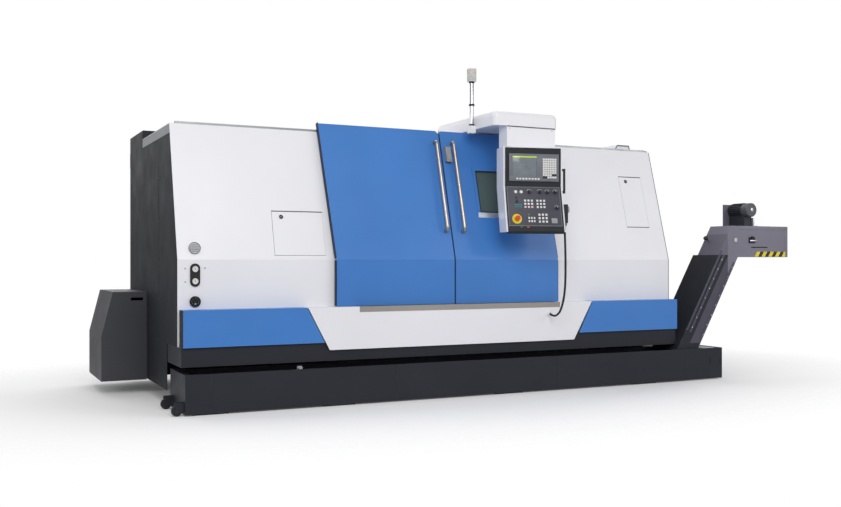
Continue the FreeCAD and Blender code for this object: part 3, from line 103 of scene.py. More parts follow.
def material_of(name):
    """New material, with its node tree, its shader and the object's coordinates in metres."""
    material = bpy.data.materials.new(name)
    material.use_nodes = True
    tree = material.node_tree
    where = add(tree, "ShaderNodeTexCoord", {}).outputs["Object"]
    return material, tree, tree.nodes["Principled BSDF"], where


def noise(tree, where, scale, detail, rough=0.5, stretch=None):
    if stretch:
        where = add(tree, "ShaderNodeMapping", {"Vector": where, "Scale": stretch}).outputs["Vector"]
    sockets = {"Vector": where, "Scale": scale, "Detail": detail, "Roughness": rough}
    return add(tree, "ShaderNodeTexNoise", sockets).outputs["Fac"]


def spread(tree, value, low, high, from_low=0.3, from_high=0.7):
    """The value, from its own range to the one between low and high."""
    sockets = {"Value": value, "From Min": from_low, "From Max": from_high, "To Min": low, "To Max": high}
    return add(tree, "ShaderNodeMapRange", sockets).outputs["Result"]


def cloud(tree, where, kind, low=0, high=1):
    """Soft patches of this noise, between low and high."""
    return spread(tree, noise(tree, where, *kind), low, high)


def mixed(tree, factor, first, second):
    node = add(tree, "ShaderNodeMix", {0: factor, 6: first, 7: second}, data_type="RGBA", blend_type="MIX")
    return node.outputs[2]


def maths(tree, kind, first, second, **values):
    return add(tree, "ShaderNodeMath", {0: first, 1: second}, operation=kind, **values).outputs[0]


def dot(tree, first, second):
    return add(tree, "ShaderNodeVectorMath", {0: first, 1: second}, operation="DOT_PRODUCT").outputs["Value"]


def axes(tree, where):
    return add(tree, "ShaderNodeSeparateXYZ", {0: where}).outputs


def bumped(tree, shader, height, strength, distance):
    bump = add(tree, "ShaderNodeBump", {"Height": height, "Strength": strength, "Distance": distance})
    fill(tree, shader, {"Normal": bump.outputs["Normal"]})


def worn(tree, where, tone, wear):
    """The tone with paint rubbed off along the edges."""
    rounded = add(tree, "ShaderNodeBevel", {"Radius": WEAR_WIDTH}, samples=4).outputs["Normal"]
    flat = add(tree, "ShaderNodeNewGeometry", {}).outputs["Normal"]
    rubbed = spread(tree, dot(tree, rounded, flat), 1, 0, 0.86, 0.995)
    patchy = spread(tree, noise(tree, where, *WEAR_PATCHES), 0, 1, 0.42, 0.66)
    return mixed(tree, maths(tree, "MULTIPLY", rubbed, patchy), tone, wear)


def rgb(*values):
    """Linear colour from the values, 0 to 255, that a picture shows."""
    return tuple((c / 255 / 12.92) if c <= 10 else ((c / 255 + 0.055) / 1.055) ** 2.4 for c in values)


def shaded(colour, share):
    return tuple(c * share for c in colour)


def paint(name, colour, rough, shade, peel=0.06, coat=0.0, wear=None, shine=0.5):
    """Sprayed metal: slight change of tone, orange peel, uneven gloss and, with wear, rubbed edges."""
    material, tree, shader, where = material_of(name)
    tone = mixed(tree, cloud(tree, where, TONE), colour, shaded(colour, shade))
    if wear:
        tone = worn(tree, where, tone, wear)
    gloss = cloud(tree, where, GLOSS, rough - 0.05, rough + 0.07)
    fill(tree, shader, {"Base Color": tone, "Roughness": gloss, "Coat Weight": coat, "Coat Roughness": 0.12,
                        "Specular IOR Level": shine})
    bumped(tree, shader, noise(tree, where, *PEEL), peel, PEEL_DEPTH)
    return material


def metal(name, colour, rough, stretch, scale, bump=0.05, dark=0.8):
    """Bare metal with grinding or turning marks drawn out along one direction."""
    material, tree, shader, where = material_of(name)
    marks = noise(tree, where, scale, 5.0, 0.6, stretch)
    fill(tree, shader, {"Base Color": mixed(tree, spread(tree, marks, 0, 1), colour, shaded(colour, dark)),
                        "Metallic": 1, "Roughness": spread(tree, marks, rough - 0.06, rough + 0.1)})
    bumped(tree, shader, marks, bump, 0.0004)
    return material


def cast(name, colour):
    """Painted casting with the sand's grain."""
    material, tree, shader, where = material_of(name)
    tone = mixed(tree, cloud(tree, where, CAST_TONE), colour, shaded(colour, 0.72))
    fill(tree, shader, {"Base Color": tone, "Roughness": 0.62})
    bumped(tree, shader, noise(tree, where, *SAND), 0.35, 0.0012)
    return material


def plastic(name, colour, rough, grain=900, bump=0.12, shine=0.5):
    material, tree, shader, where = material_of(name)
    tone = mixed(tree, cloud(tree, where, PLASTIC_TONE), colour, shaded(colour, 0.88))
    gloss = cloud(tree, where, PLASTIC_GLOSS, rough - 0.05, rough + 0.06)
    fill(tree, shader, {"Base Color": tone, "Roughness": gloss, "Specular IOR Level": shine})
    bumped(tree, shader, noise(tree, where, grain, 2.0), bump, 0.0002)
    return material


def safety_glass(name, colour, clear):
    """Laminated glass, tinted, part see-through."""
    material, tree, shader, where = material_of(name)
    tone = mixed(tree, cloud(tree, where, (3, 3.0)), colour, shaded(colour, 0.8))
    fill(tree, shader, {"Base Color": tone, "Roughness": cloud(tree, where, (7, 4.0), 0.03, 0.12),
                        "Alpha": clear, "IOR": 1.5})
    return material


white = paint("white_paint", rgb(234, 234, 239), 0.36, 0.97, coat=0.12)
roof_paint = paint("roof_paint", rgb(230, 230, 235), 0.66, 0.97, shine=0.2)
blue = paint("blue_paint", rgb(61, 124, 200), 0.36, 0.92, coat=0.15)
charcoal = paint("charcoal_paint", rgb(42, 44, 50), 0.6, 0.85, peel=0.2, shine=0.15)
box_paint = paint("box_paint", rgb(66, 67, 72), 0.5, 0.85, 0.2, wear=rgb(96, 97, 102), shine=0.35)
base_paint = paint("base_paint", rgb(38, 40, 48), 0.46, 0.8, 0.14, wear=rgb(84, 85, 92), shine=0.3)
head_paint = paint("head_paint", rgb(124, 122, 136), 0.42, 0.86, 0.12, wear=rgb(160, 158, 168), shine=0.35)
fan_paint = paint("fan_paint", rgb(86, 87, 96), 0.42, 0.86, 0.12, wear=rgb(150, 150, 156), shine=0.4)
band_paint = paint("band_paint", rgb(78, 77, 92), 0.46, 0.84, 0.14, wear=rgb(120, 120, 128), shine=0.3)
# Warm grey of the rail under the doors, darkened partly as painted shade under the doors
sill_paint = paint("sill_paint", rgb(156, 150, 144), 0.4, 0.88)
steel = metal("brushed_steel", rgb(196, 182, 166), 0.3, (1, 1, 0.06), 220)
dark_steel = metal("dark_steel", rgb(96, 97, 100), 0.4, (1, 1, 1), 200)
pale_steel = metal("pale_steel", rgb(214, 222, 228), 0.42, (0.1, 1, 1), 120, dark=0.92)
sheet_steel = metal("sheet_steel", rgb(170, 172, 175), 0.38, (0.1, 1, 1), 120)
ground_steel = metal("ground_steel", rgb(205, 206, 210), 0.18, (0.08, 1, 1), 300)
turned_steel = metal("turned_steel", rgb(190, 190, 194), 0.24, (1, 1, 1), 900, 0.02, 0.93)
casting = cast("casting", rgb(112, 122, 124))
motor_paint = cast("motor_paint", rgb(52, 55, 60))
black_plastic = plastic("black_plastic", rgb(30, 30, 33), 0.42)
gloss_black = plastic("gloss_black", rgb(24, 25, 27), 0.14)
grey_plastic = plastic("grey_plastic", rgb(150, 152, 154), 0.4)
white_plastic = plastic("white_plastic", rgb(228, 228, 226), 0.3)
red_plastic = plastic("red_plastic", rgb(214, 60, 30), 0.25)
yellow_plastic = plastic("yellow_plastic", rgb(238, 212, 34), 0.35)
teal_plastic = plastic("teal_plastic", rgb(60, 116, 124), 0.35)
rose_plastic = plastic("rose_plastic", rgb(226, 196, 200), 0.3)
green_plastic = plastic("green_plastic", rgb(56, 150, 84), 0.3)
orange_plastic = plastic("orange_plastic", rgb(226, 120, 40), 0.3)
fascia_plastic = plastic("fascia_plastic", rgb(36, 39, 45), 0.5, 500, 0.2, shine=0.3)
bezel_plastic = plastic("bezel_plastic", rgb(112, 115, 124), 0.42, shine=0.4)
# Grey for painted shade lines in seams and along edges of the arm, cowl, access doors and right cover
painted_edge_shade = plastic("painted_edge_shade", rgb(84, 85, 90), 0.6)
border_plastic = plastic("border_plastic", rgb(128, 130, 140), 0.42, shine=0.4)
lower_grey = plastic("lower_panel_grey", rgb(72, 72, 84), 0.45, shine=0.35)
rubber = plastic("rubber", rgb(26, 26, 28), 0.6, 500, 0.3)
window_glass = safety_glass("window_glass", rgb(104, 122, 122), 0.55)
grille_plastic = plastic("grille_plastic", rgb(66, 68, 74), 0.5)
# Dark blue for painted shade on the doors' side edges and in the gap where they meet
door_shade_blue = plastic("door_shade_blue", rgb(22, 34, 62), 0.55, 500, 0.2, shine=0.3)
cabinet_grey = plastic("cabinet_grey", rgb(196, 198, 198), 0.4, shine=0.4)
# Near black for the dials' printed marks and the panels' dark seams, and as painted shade in slots, the
# head's slot line, the latch's recess and behind the grilles
black_marks_and_shade = plastic("black_marks_and_shade", rgb(12, 12, 13), 0.7)


def trimmed_charcoal():
    """The side panels' charcoal, with the pale band that is screwed along the left panel's top."""
    band_side = -2.2501
    material, tree, shader, where = material_of("charcoal_with_band")
    band = maths(tree, "LESS_THAN", axes(tree, where)["X"], band_side)
    dark = mixed(tree, cloud(tree, where, TONE), rgb(40, 42, 48), rgb(34, 36, 41))
    fill(tree, shader, {"Base Color": mixed(tree, band, dark, rgb(150, 152, 156)),
                        "Roughness": cloud(tree, where, GLOSS, 0.54, 0.66), "Specular IOR Level": 0.15})
    bumped(tree, shader, noise(tree, where, *PEEL), 0.2, PEEL_DEPTH)
    return material


def casing_finish():
    """Conveyor casing: dark in the tank, purple-grey above the ledge and along the side's lower band."""
    tank_top, ledge, band_width = 0.34, 1.150, 0.112
    material, tree, shader, where = material_of("casing_finish")
    split = axes(tree, where)
    foot = -math.sin(INCLINE_RISE) * INCLINE_X + math.cos(INCLINE_RISE) * INCLINE_Z
    across = dot(tree, where, (-math.sin(INCLINE_RISE), 0, math.cos(INCLINE_RISE)))
    front = maths(tree, "LESS_THAN", split["Y"], HEAD_Y + 0.001)
    low_side = maths(tree, "LESS_THAN", across, foot + band_width)
    above_tank = maths(tree, "GREATER_THAN", split["Z"], tank_top)
    band = maths(tree, "MULTIPLY", maths(tree, "MULTIPLY", front, low_side), above_tank)
    upper = maths(tree, "GREATER_THAN", split["Z"], ledge)
    cloudy = cloud(tree, where, TONE)
    dark = mixed(tree, cloudy, rgb(40, 42, 50), rgb(30, 32, 40))
    banded = mixed(tree, cloudy, rgb(82, 80, 94), rgb(70, 68, 82))
    head = mixed(tree, cloudy, rgb(112, 110, 124), rgb(98, 96, 110))
    tone = mixed(tree, upper, mixed(tree, band, dark, banded), head)
    fill(tree, shader, {"Base Color": worn(tree, where, tone, rgb(120, 120, 128)),
                        "Roughness": cloud(tree, where, GLOSS, 0.41, 0.53), "Specular IOR Level": 0.3})
    bumped(tree, shader, noise(tree, where, *PEEL), 0.14, PEEL_DEPTH)
    return material


def gearmotor_finish():
    """Dark motor on a plate painted as the head."""
    plate_y = -0.8856
    material, tree, shader, where = material_of("gearmotor_finish")
    plate_side = maths(tree, "GREATER_THAN", axes(tree, where)["Y"], plate_y)
    grain = cloud(tree, where, CAST_TONE)
    dark = mixed(tree, grain, rgb(58, 60, 68), rgb(42, 44, 50))
    pale = mixed(tree, grain, rgb(118, 116, 130), rgb(104, 102, 116))
    fill(tree, shader, {"Base Color": mixed(tree, plate_side, dark, pale), "Roughness": 0.55,
                        "Specular IOR Level": 0.4})
    bumped(tree, shader, noise(tree, where, *SAND), 0.3, 0.0010)
    return material


def lamp_glow():
    """Frosted cover of the work lamp, faintly lit."""
    material, tree, shader, where = material_of("work_lamp_cover")
    tone = mixed(tree, cloud(tree, where, (30, 3.0)), rgb(236, 238, 236), rgb(222, 226, 226))
    fill(tree, shader, {"Base Color": tone, "Emission Color": tone, "Emission Strength": 2.0,
                        "Roughness": cloud(tree, where, (60, 3.0), 0.3, 0.45)})
    return material


def gauge_finish():
    """Pale round vent above, black oblong plate and round gauge below."""
    vent_foot = 1.12
    material, tree, shader, where = material_of("gauge_finish")
    vent = maths(tree, "GREATER_THAN", axes(tree, where)["Z"], vent_foot)
    pale = mixed(tree, cloud(tree, where, PLASTIC_TONE), rgb(216, 217, 221), rgb(204, 205, 210))
    fill(tree, shader, {"Base Color": mixed(tree, vent, rgb(26, 26, 29), pale),
                        "Roughness": cloud(tree, where, PLASTIC_GLOSS, 0.34, 0.48)})
    bumped(tree, shader, noise(tree, where, 600, 2.0), 0.12, 0.0003)
    return material


def screen_face():
    """The control unit's screen: grey, with a yellow-green strip along its top."""
    strip_foot = 1.942
    material, tree, shader, where = material_of("screen")
    top = maths(tree, "GREATER_THAN", axes(tree, where)["Z"], strip_foot)
    soft = mixed(tree, cloud(tree, where, (16, 2.0)), rgb(112, 120, 126), rgb(98, 107, 112))
    tone = mixed(tree, top, soft, rgb(180, 204, 70))
    fill(tree, shader, {"Base Color": tone, "Emission Color": tone, "Emission Strength": 0.25,
                        "Roughness": 0.12})
    return material


for material, names in (
        (casting, "bed_casting headstock saddle cross_slide turret_housing tailstock_body"),
        (turned_steel, "levelling_feet spindle chuck_body motor_pulley turret_disc conveyor_head_shaft"),
        (ground_steel, "guideways chuck_jaw_1 chuck_jaw_2 chuck_jaw_3 z_ball_screw tailstock_quill"
                       " live_centre"),
        (motor_paint, "drive_motors"),
        (rubber, "drive_belt caster_wheels hand_unit_cable"),
        (base_paint, "plinth coolant_tank"),
        (blue, "front_skirts left_door right_door"),
        (white, "centre_apron left_front_cover right_front_cover overhead_arm signal_lamp left_access_door"
                " right_access_door panel_housing"),
        (sill_paint, "sill_rail"),
        (trimmed_charcoal(), "end_and_rear_panels"),
        (roof_paint, "roof"),
        (sheet_steel, "door_top_rail work_area_walls conveyor_belt"),
        (charcoal, "electrical_cabinet cabinet_door"),
        (box_paint, "service_box"),
        (gauge_finish(), "front_gauges"),
        (casing_finish(), "conveyor_casing"),
        (head_paint, "discharge_head"),
        (gearmotor_finish(), "gearmotor"),
        (steel, "left_door_handle right_door_handle"),
        (window_glass, "window_glass"),
        (fascia_plastic, "panel_fascia"),
        (black_plastic, "hand_unit mode_knob feed_override_knob"),
        (white_plastic, "cycle_start_button feed_hold_button"),
        (red_plastic, "emergency_stop"),
        (grey_plastic, "handwheel"),
):
    for name in names.split():
        mesh = nodes[name].data
        mesh.materials.clear()
        mesh.materials.append(material)


# ------------------------------------ mesh helpers
def basis(origin, u, v, h):
    """Matrix that takes (along u, along v, out by h) to the frame's metres."""
    return Matrix(((u[0], v[0], h[0], origin[0]), (u[1], v[1], h[1], origin[1]),
                   (u[2], v[2], h[2], origin[2]), (0, 0, 0, 1)))


def upright(y, x=0, z=0):
    """Place that faces the front: u along X, v along Z."""
    return basis((x, y, z), (1, 0, 0), (0, 0, 1), (0, -1, 0))


def level(z, x=0, y=0):
    """Place that faces up: u along X, v along Y."""
    return basis((x, y, z), (1, 0, 0), (0, 1, 0), (0, 0, 1))


def spun(place, u, v, degrees):
    """The place with its origin at (u, v), turned about h."""
    return place @ Matrix.Translation((u, v, 0)) @ Matrix.Rotation(math.radians(degrees), 4, "Z")


def about(centre, half):
    return centre - half, centre + half


def plate(bm, place, u, v, h, bevel=0.001):
    """Box between the values given along each axis, with rounded edges."""
    made = bmesh.ops.create_cube(bm, size=1)["verts"]
    centre = Vector(((u[0] + u[1]) / 2, (v[0] + v[1]) / 2, (h[0] + h[1]) / 2))
    size = (u[1] - u[0], v[1] - v[0], h[1] - h[0])
    move = place @ Matrix.Translation(centre) @ Matrix.Diagonal((*size, 1))
    bmesh.ops.transform(bm, matrix=move, verts=made)
    if bevel:
        edges = list({e for vert in made for e in vert.link_edges})
        bmesh.ops.bevel(bm, geom=edges, offset=min(bevel, 0.45 * min(size)), segments=2, profile=0.6,
                        affect="EDGES")


def turned(bm, place, u, v, outline, segments=40, annular=False):
    """Round piece from (radius, height) points, turned about h at (u, v); an annular one has no end faces."""
    rings = []
    for radius, height in outline:
        ring = []
        for i in range(segments):
            angle = 2 * math.pi * i / segments
            point = Vector((u + radius * math.cos(angle), v + radius * math.sin(angle), height))
            ring.append(bm.verts.new(place @ point))
        rings.append(ring)
    for low, high in zip(rings, rings[1:] + rings[:1] if annular else rings[1:]):
        for i in range(segments):
            j = (i + 1) % segments
            bm.faces.new((low[i], low[j], high[j], high[i]))
    if not annular:
        bm.faces.new(list(reversed(rings[0])))
        bm.faces.new(rings[-1])


def slanted_bar(bm, place, u, v, width, shift, h):
    """Bar from v[0] to v[1] whose far end is shifted along u."""
    corners = [(u, v[0]), (u + width, v[0]), (u + width + shift, v[1]), (u + shift, v[1])]
    low = [bm.verts.new(place @ Vector((x, y, h[0]))) for x, y in corners]
    high = [bm.verts.new(place @ Vector((x, y, h[1]))) for x, y in corners]
    bm.faces.new(list(reversed(low)))
    bm.faces.new(high)
    for i in range(4):
        j = (i + 1) % 4
        bm.faces.new((low[i], low[j], high[j], high[i]))


def frame_of(bm, place, u, v, width, h, bevel):
    """Four bars round an opening, which overlap at the corners."""
    plate(bm, place, (u[0] - width, u[1] + width), (v[1], v[1] + width), h, bevel)
    plate(bm, place, (u[0] - width, u[1] + width), (v[0] - width, v[0]), h, bevel)
    plate(bm, place, (u[0] - width, u[0]), (v[0] - 0.001, v[1] + 0.001), h, bevel)
    plate(bm, place, (u[1], u[1] + width), (v[0] - 0.001, v[1] + 0.001), h, bevel)


def knob_outline(radius, height, low, edge=0.002):
    return [(radius, low), (radius, low + height - edge), (radius - edge * 0.4, low + height - edge * 0.3),
            (radius - edge, low + height)]


def piece(name, bm, material, body="machine", smooth=True):
    """Object of the drawn mesh, riding on its body."""
    bmesh.ops.recalc_face_normals(bm, faces=bm.faces)
    mesh = bpy.data.meshes.new(name)
    bm.to_mesh(mesh)
    bm.free()
    mesh.materials.append(material)
    obj = bpy.data.objects.new(name, mesh)
    scene.collection.objects.link(obj)
    if smooth:
        mesh.shade_smooth()
        mesh.set_sharp_from_angle(angle=math.radians(35))
    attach(obj, body)


def plates(name, material, place, boxes, body="machine", smooth=True):
    """Piece made of plates on one place, each box as (u, v, h) or (u, v, h, bevel)."""
    bm = bmesh.new()
    for box in boxes:
        plate(bm, place, *box)
    piece(name, bm, material, body, smooth)


def rounds(name, material, place, spots, outline, segments=40, annular=False, body="machine"):
    """Piece made of the same round at each spot (u, v) of one place."""
    bm = bmesh.new()
    for u, v in spots:
        turned(bm, place, u, v, outline, segments, annular)
    piece(name, bm, material, body)


# ------------------------------------ free cable of the hand unit
cable_points = [
    (0.84201, -1.38142, 1.385), (0.84201, -1.38142, 1.330), (0.844, -1.385, 1.235), (0.848, -1.384, 1.105),
    (0.852, -1.378, 0.972), (0.853, -1.367, 0.842), (0.851, -1.340, 0.738), (0.850, -1.300, 0.668),
    (0.849, -1.250, 0.636), (0.849, -1.200, 0.630), (0.849, -1.157, 0.644),
]
cable_curve = bpy.data.curves.new("hand_unit_line", "CURVE")
cable_curve.dimensions = "3D"
spline = cable_curve.splines.new("NURBS")
spline.points.add(len(cable_points) - 1)
for point, place in zip(spline.points, cable_points):
    point.co = (*place, 1)
spline.order_u = 3
spline.use_endpoint_u = True
spline.resolution_u = 12
cable_line = bpy.data.objects.new("hand_unit_line", cable_curve)
centre_line = bpy.data.meshes.new_from_object(cable_line)
cable_curve.bevel_depth = 0.009
cable_curve.bevel_resolution = 8
cable_curve.use_fill_caps = True
tube = bpy.data.meshes.new_from_object(cable_line)
tube.materials.clear()
tube.materials.append(rubber)
tube.shade_smooth()
cable = bpy.data.objects.new("hand_unit_lead", tube)
scene.collection.objects.link(cable)
bpy.data.objects.remove(cable_line)
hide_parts("hand_unit_cable")
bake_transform(cable)

# ------------------------------------ places on the machine
slope = math.hypot(1, LEAN)
lean_up = (0, LEAN / slope, 1 / slope)
lean_out = (0, -1 / slope, LEAN / slope)


def leaning(proud):
    """Leaning front, this far in front of the covers; v is measured up the slope from the waist line."""
    return basis((0, COVER_Y - proud, WAIST_Z), (1, 0, 0), lean_up, lean_out)


def up_slope(z):
    return (z - WAIST_Z) * slope


cover_front, cover_lean = upright(COVER_Y), leaning(0)
door_front, door_lean = upright(COVER_Y - DOOR_PROUD), leaning(DOOR_PROUD)
head_front = upright(HEAD_Y)

PANEL_FACE = -0.101  # front of the housing, from the swivel's axis
KICK_Z, LOWER_HEIGHT = 1.707, 0.377
panel_turn = Matrix.Translation((0.608, -1.206, 0)) @ Matrix.Rotation(math.radians(-14), 4, "Z")
kick = 90 / 377  # the panel's lower half comes forward by this much per metre down
kick_length = math.hypot(1, kick)
upper = panel_turn @ upright(PANEL_FACE)
lower = panel_turn @ basis((0, PANEL_FACE, KICK_Z), (1, 0, 0), (0, kick / kick_length, 1 / kick_length),
                                 (0, -1 / kick_length, kick / kick_length))


def lower_v(share):
    """Place on the lower half, by its share of the height from the kick down."""
    return -share * LOWER_HEIGHT * kick_length


# ------------------------------------ operator panel: upper half
outer_u, outer_v = (-0.2085, 0.2185), (1.7475, 1.9725)
screen_u, screen_v = (-0.178, 0.027), (1.787, 1.954)
keys_u, keys_v = (0.078, 0.198), (1.772, 1.938)
bezel_h, key_h = (0.004, 0.010), (0.009, 0.013)
side_v = (screen_v[0] - 0.001, screen_v[1] + 0.001)
plates("control_unit_bezel", bezel_plastic, upper,
       [(outer_u, (screen_v[1], outer_v[1]), bezel_h), (outer_u, (outer_v[0], screen_v[0]), bezel_h),
        ((outer_u[0], screen_u[0]), side_v, bezel_h), ((screen_u[1], outer_u[1]), side_v, bezel_h)],
       body="panel")
plates("control_unit_screen", screen_face(), upper,
       [(screen_u, screen_v, (0.004, 0.0066), 0.0004)], body="panel")

# Start and end of each line, as shares of the screen's width
screen_rows = ((0.30, 0.92), (0.08, 0.36), (0.08, 0.52), (0.08, 0.44), (0.42, 0.88), (0.08, 0.92))
screen_width = screen_u[1] - screen_u[0]
bm = bmesh.new()
for row, (start, end) in enumerate(screen_rows):
    v = 1.927 - row * 0.0225
    plate(bm, upper, (screen_u[0] + start * screen_width, screen_u[0] + end * screen_width),
          (v, v + 0.0022), (0.0062, 0.0069), 0)
piece("screen_lines", bm, border_plastic, smooth=False, body="panel")

KEY_COLUMNS, KEY_ROWS = 6, 9
pitch_u = (keys_u[1] - keys_u[0]) / KEY_COLUMNS
pitch_v = (keys_v[1] - keys_v[0]) / KEY_ROWS
dark_keys = {(0, 0), (1, 0), (4, 1), (5, 1)}


def control_key(bm, column, row):
    plate(bm, upper, about(keys_u[0] + (column + 0.5) * pitch_u, 0.0088),
          about(keys_v[0] + (row + 0.5) * pitch_v, 0.0080), key_h, 0.002)


bm = bmesh.new()
for i in range(8):
    plate(bm, upper, about(-0.140 + i * 0.0262, 0.009), (1.760, 1.774), key_h, 0.002)
for column in range(KEY_COLUMNS):
    for row in range(KEY_ROWS):
        if (column, row) not in dark_keys:
            control_key(bm, column, row)
piece("control_unit_keys", bm, white_plastic, "panel")
bm = bmesh.new()
for column, row in dark_keys:
    control_key(bm, column, row)
piece("control_unit_dark_keys", bm, black_plastic, "panel")

# ------------------------------------ operator panel: lower half
plates("lower_key_field", lower_grey, lower,
       [((-0.226, 0.222), (lower_v(0.86), lower_v(0.025)), (-0.002, 0.0016), 0.0008)], body="panel")
plates("lower_field_border", border_plastic, lower,
       [(u, (lower_v(low), lower_v(high)), (-0.002, 0.0024), 0.0006) for u, low, high in (
           ((-0.229, 0.225), 0.875, 0.862), ((-0.229, 0.225), 0.025, 0.015),
           ((-0.229, -0.2255), 0.865, 0.020), ((0.2215, 0.225), 0.865, 0.020))], body="panel")


def key_grid(bm, u, shares, columns, rows, size=(0.60, 0.62)):
    """Keys in columns and rows; the size is each key's share of its pitch."""
    du = (u[1] - u[0]) / columns
    dv = (lower_v(shares[0]) - lower_v(shares[1])) / rows
    for i in range(columns):
        for j in range(rows):
            plate(bm, lower, about(u[0] + (i + 0.5) * du, du * size[0] / 2),
                  about(lower_v(shares[1]) + (j + 0.5) * dv, dv * size[1] / 2), (0.001, 0.006), 0.0030)


bm = bmesh.new()
key_grid(bm, (-0.095, -0.008), (0.285, 0.425), 3, 2)
key_grid(bm, (0.010, 0.097), (0.285, 0.495), 3, 3)
key_grid(bm, (-0.068, 0.000), (0.665, 0.805), 3, 2)
key_grid(bm, (0.018, 0.108), (0.590, 0.815), 3, 3)
piece("lower_keys", bm, white_plastic, "panel")
bm = bmesh.new()
key_grid(bm, (-0.095, -0.008), (0.425, 0.495), 3, 1)
piece("lower_rose_keys", bm, rose_plastic, "panel")
bm = bmesh.new()
key_grid(bm, (-0.172, -0.106), (0.395, 0.480), 3, 2, (0.9, 0.86))
piece("lower_teal_keys", bm, teal_plastic, "panel")

sign_v, sign_h = (lower_v(0.905), lower_v(0.888)), (-0.001, 0.0022)
bm = bmesh.new()
key_grid(bm, (-0.068, -0.045), (0.590, 0.665), 1, 1, (0.5, 0.5))
plate(bm, lower, (-0.132, -0.118), sign_v, sign_h, 0.0006)
piece("green_signs", bm, green_plastic, "panel")
plates("orange_signs", orange_plastic, lower,
       [((-0.078, -0.058), sign_v, sign_h, 0.0006)], body="panel")
plates("socket_cover", grey_plastic, lower,
       [((0.134, 0.184), (lower_v(0.815), lower_v(0.70)), (0.001, 0.007), 0.003)], body="panel")
rounds("emergency_stop_plate", yellow_plastic, lower, [(-0.160, lower_v(0.72))],
       [(0.041, 0.0005), (0.041, 0.0035), (0.040, 0.0045), (0.0150, 0.0045), (0.0140, 0.0040),
        (0.0140, 0.0005)], annular=True, body="panel")

bm = bmesh.new()
turned(bm, lower, -0.155, lower_v(0.25), knob_outline(0.008, 0.007, 0.001))
turned(bm, lower, -0.150, lower_v(0.335), knob_outline(0.011, 0.012, 0.001))
piece("small_switches", bm, black_plastic, "panel")

# Rows of the buttons and round knobs, as shares of the lower half's height
TOP_ROW, LOW_ROW = 0.13, 0.48
pointed_knobs = ((0.118, TOP_ROW), (0.186, TOP_ROW), (0.190, LOW_ROW))
rounds("button_rings", sheet_steel, lower,
       [(-0.155, lower_v(TOP_ROW)), (-0.108, lower_v(TOP_ROW))],
       [(0.0152, 0.0012), (0.0152, 0.003), (0.0146, 0.0034), (0.0118, 0.0034)], body="panel")
bm = bmesh.new()
for u, share in pointed_knobs:
    plate(bm, lower, about(u, 0.0012), (lower_v(share), lower_v(share) + 0.012), (0.018, 0.0212), 0.0004)
for u, share in ((-0.038, TOP_ROW), (0.052, TOP_ROW), *pointed_knobs):
    for step in range(9):
        plate(bm, spun(lower, u, lower_v(share), 30 + 15 * step), (0.0205, 0.0250), about(0, 0.0011),
              (0.0014, 0.0022), 0)
piece("knob_marks", bm, white_plastic, "panel")

# ------------------------------------ hazard strip on the discharge head
strip_v, stripe = (1.1345, 1.182), 0.0436
for name, material, first, slot_name in (("hazard_yellow", yellow_plastic, 0, "white_plastic"),
                                         ("hazard_black", black_plastic, 1, "black_plastic")):
    bm = bmesh.new()
    for i in range(first, 9, 2):
        slanted_bar(bm, head_front, 3.166 + i * stripe, strip_v, stripe, 0.030, (-0.001, 0.0018))
    piece(name, bm, material, smooth=False)

# ------------------------------------ gauges on the left front cover
dials, round_v = ((GAUGE_U, 0.948), (GAUGE_U, 1.036)), 0.800
rounds("dial_faces", white_plastic, cover_front, dials,
       [(0.0215, 0.0110), (0.0215, 0.0132), (0.020, 0.0132)])
bm = bmesh.new()
for u, v in dials:
    for i in range(9):
        plate(bm, spun(cover_front, u, v, 225 - i * 33.75), (0.0145, 0.0188), about(0, 0.0006),
              (0.0130, 0.0138), 0)
    plate(bm, spun(cover_front, u, v, 120), (-0.004, 0.0165), about(0, 0.0008), (0.0132, 0.0146), 0)
    turned(bm, cover_front, u, v, [(0.003, 0.013), (0.003, 0.0155), (0.0022, 0.016)], 16)
piece("dial_marks", bm, black_marks_and_shade, smooth=False)
rounds("round_gauge_face", gloss_black, cover_front, [(GAUGE_U, round_v)],
       [(0.0370, 0.0110), (0.0370, 0.0150), (0.0350, 0.0165), (0.0330, 0.0150), (0.0325, 0.0128)])
bm = bmesh.new()
for step in range(7):
    plate(bm, spun(cover_front, GAUGE_U, round_v, -30 + 40 * step), (0.0235, 0.0295), about(0, 0.0010),
          (0.0124, 0.0134), 0)
# Pale square below the centre as a painted highlight on the gauge's glass
plate(bm, cover_front, (-2.130, -2.118), (0.778, 0.790), (0.0124, 0.0136), 0.001)
piece("round_gauge_marks_and_highlight", bm, grey_plastic, smooth=False)

vent_v = up_slope(1.186)
bm = bmesh.new()
for step in range(36):
    plate(bm, spun(cover_lean, GAUGE_U, vent_v, 10 * step), (0.0395, 0.0435), about(0, 0.0040),
          (0.0100, 0.0150), 0)
for v, half in ((-0.024, 0.025), (-0.012, 0.033), (0.0, 0.036), (0.012, 0.033), (0.024, 0.025)):
    plate(bm, cover_lean, about(GAUGE_U, half), about(vent_v + v, 0.0014), (0.0100, 0.0136), 0.0006)
piece("vent_louvres", bm, dark_steel, smooth=False)
rounds("cover_bolts", ground_steel, cover_front,
       ((-2.196, 1.040), (-2.196, 0.945), (-2.052, 1.044)), knob_outline(0.0055, 0.004, 0.0, 0.001), 18)

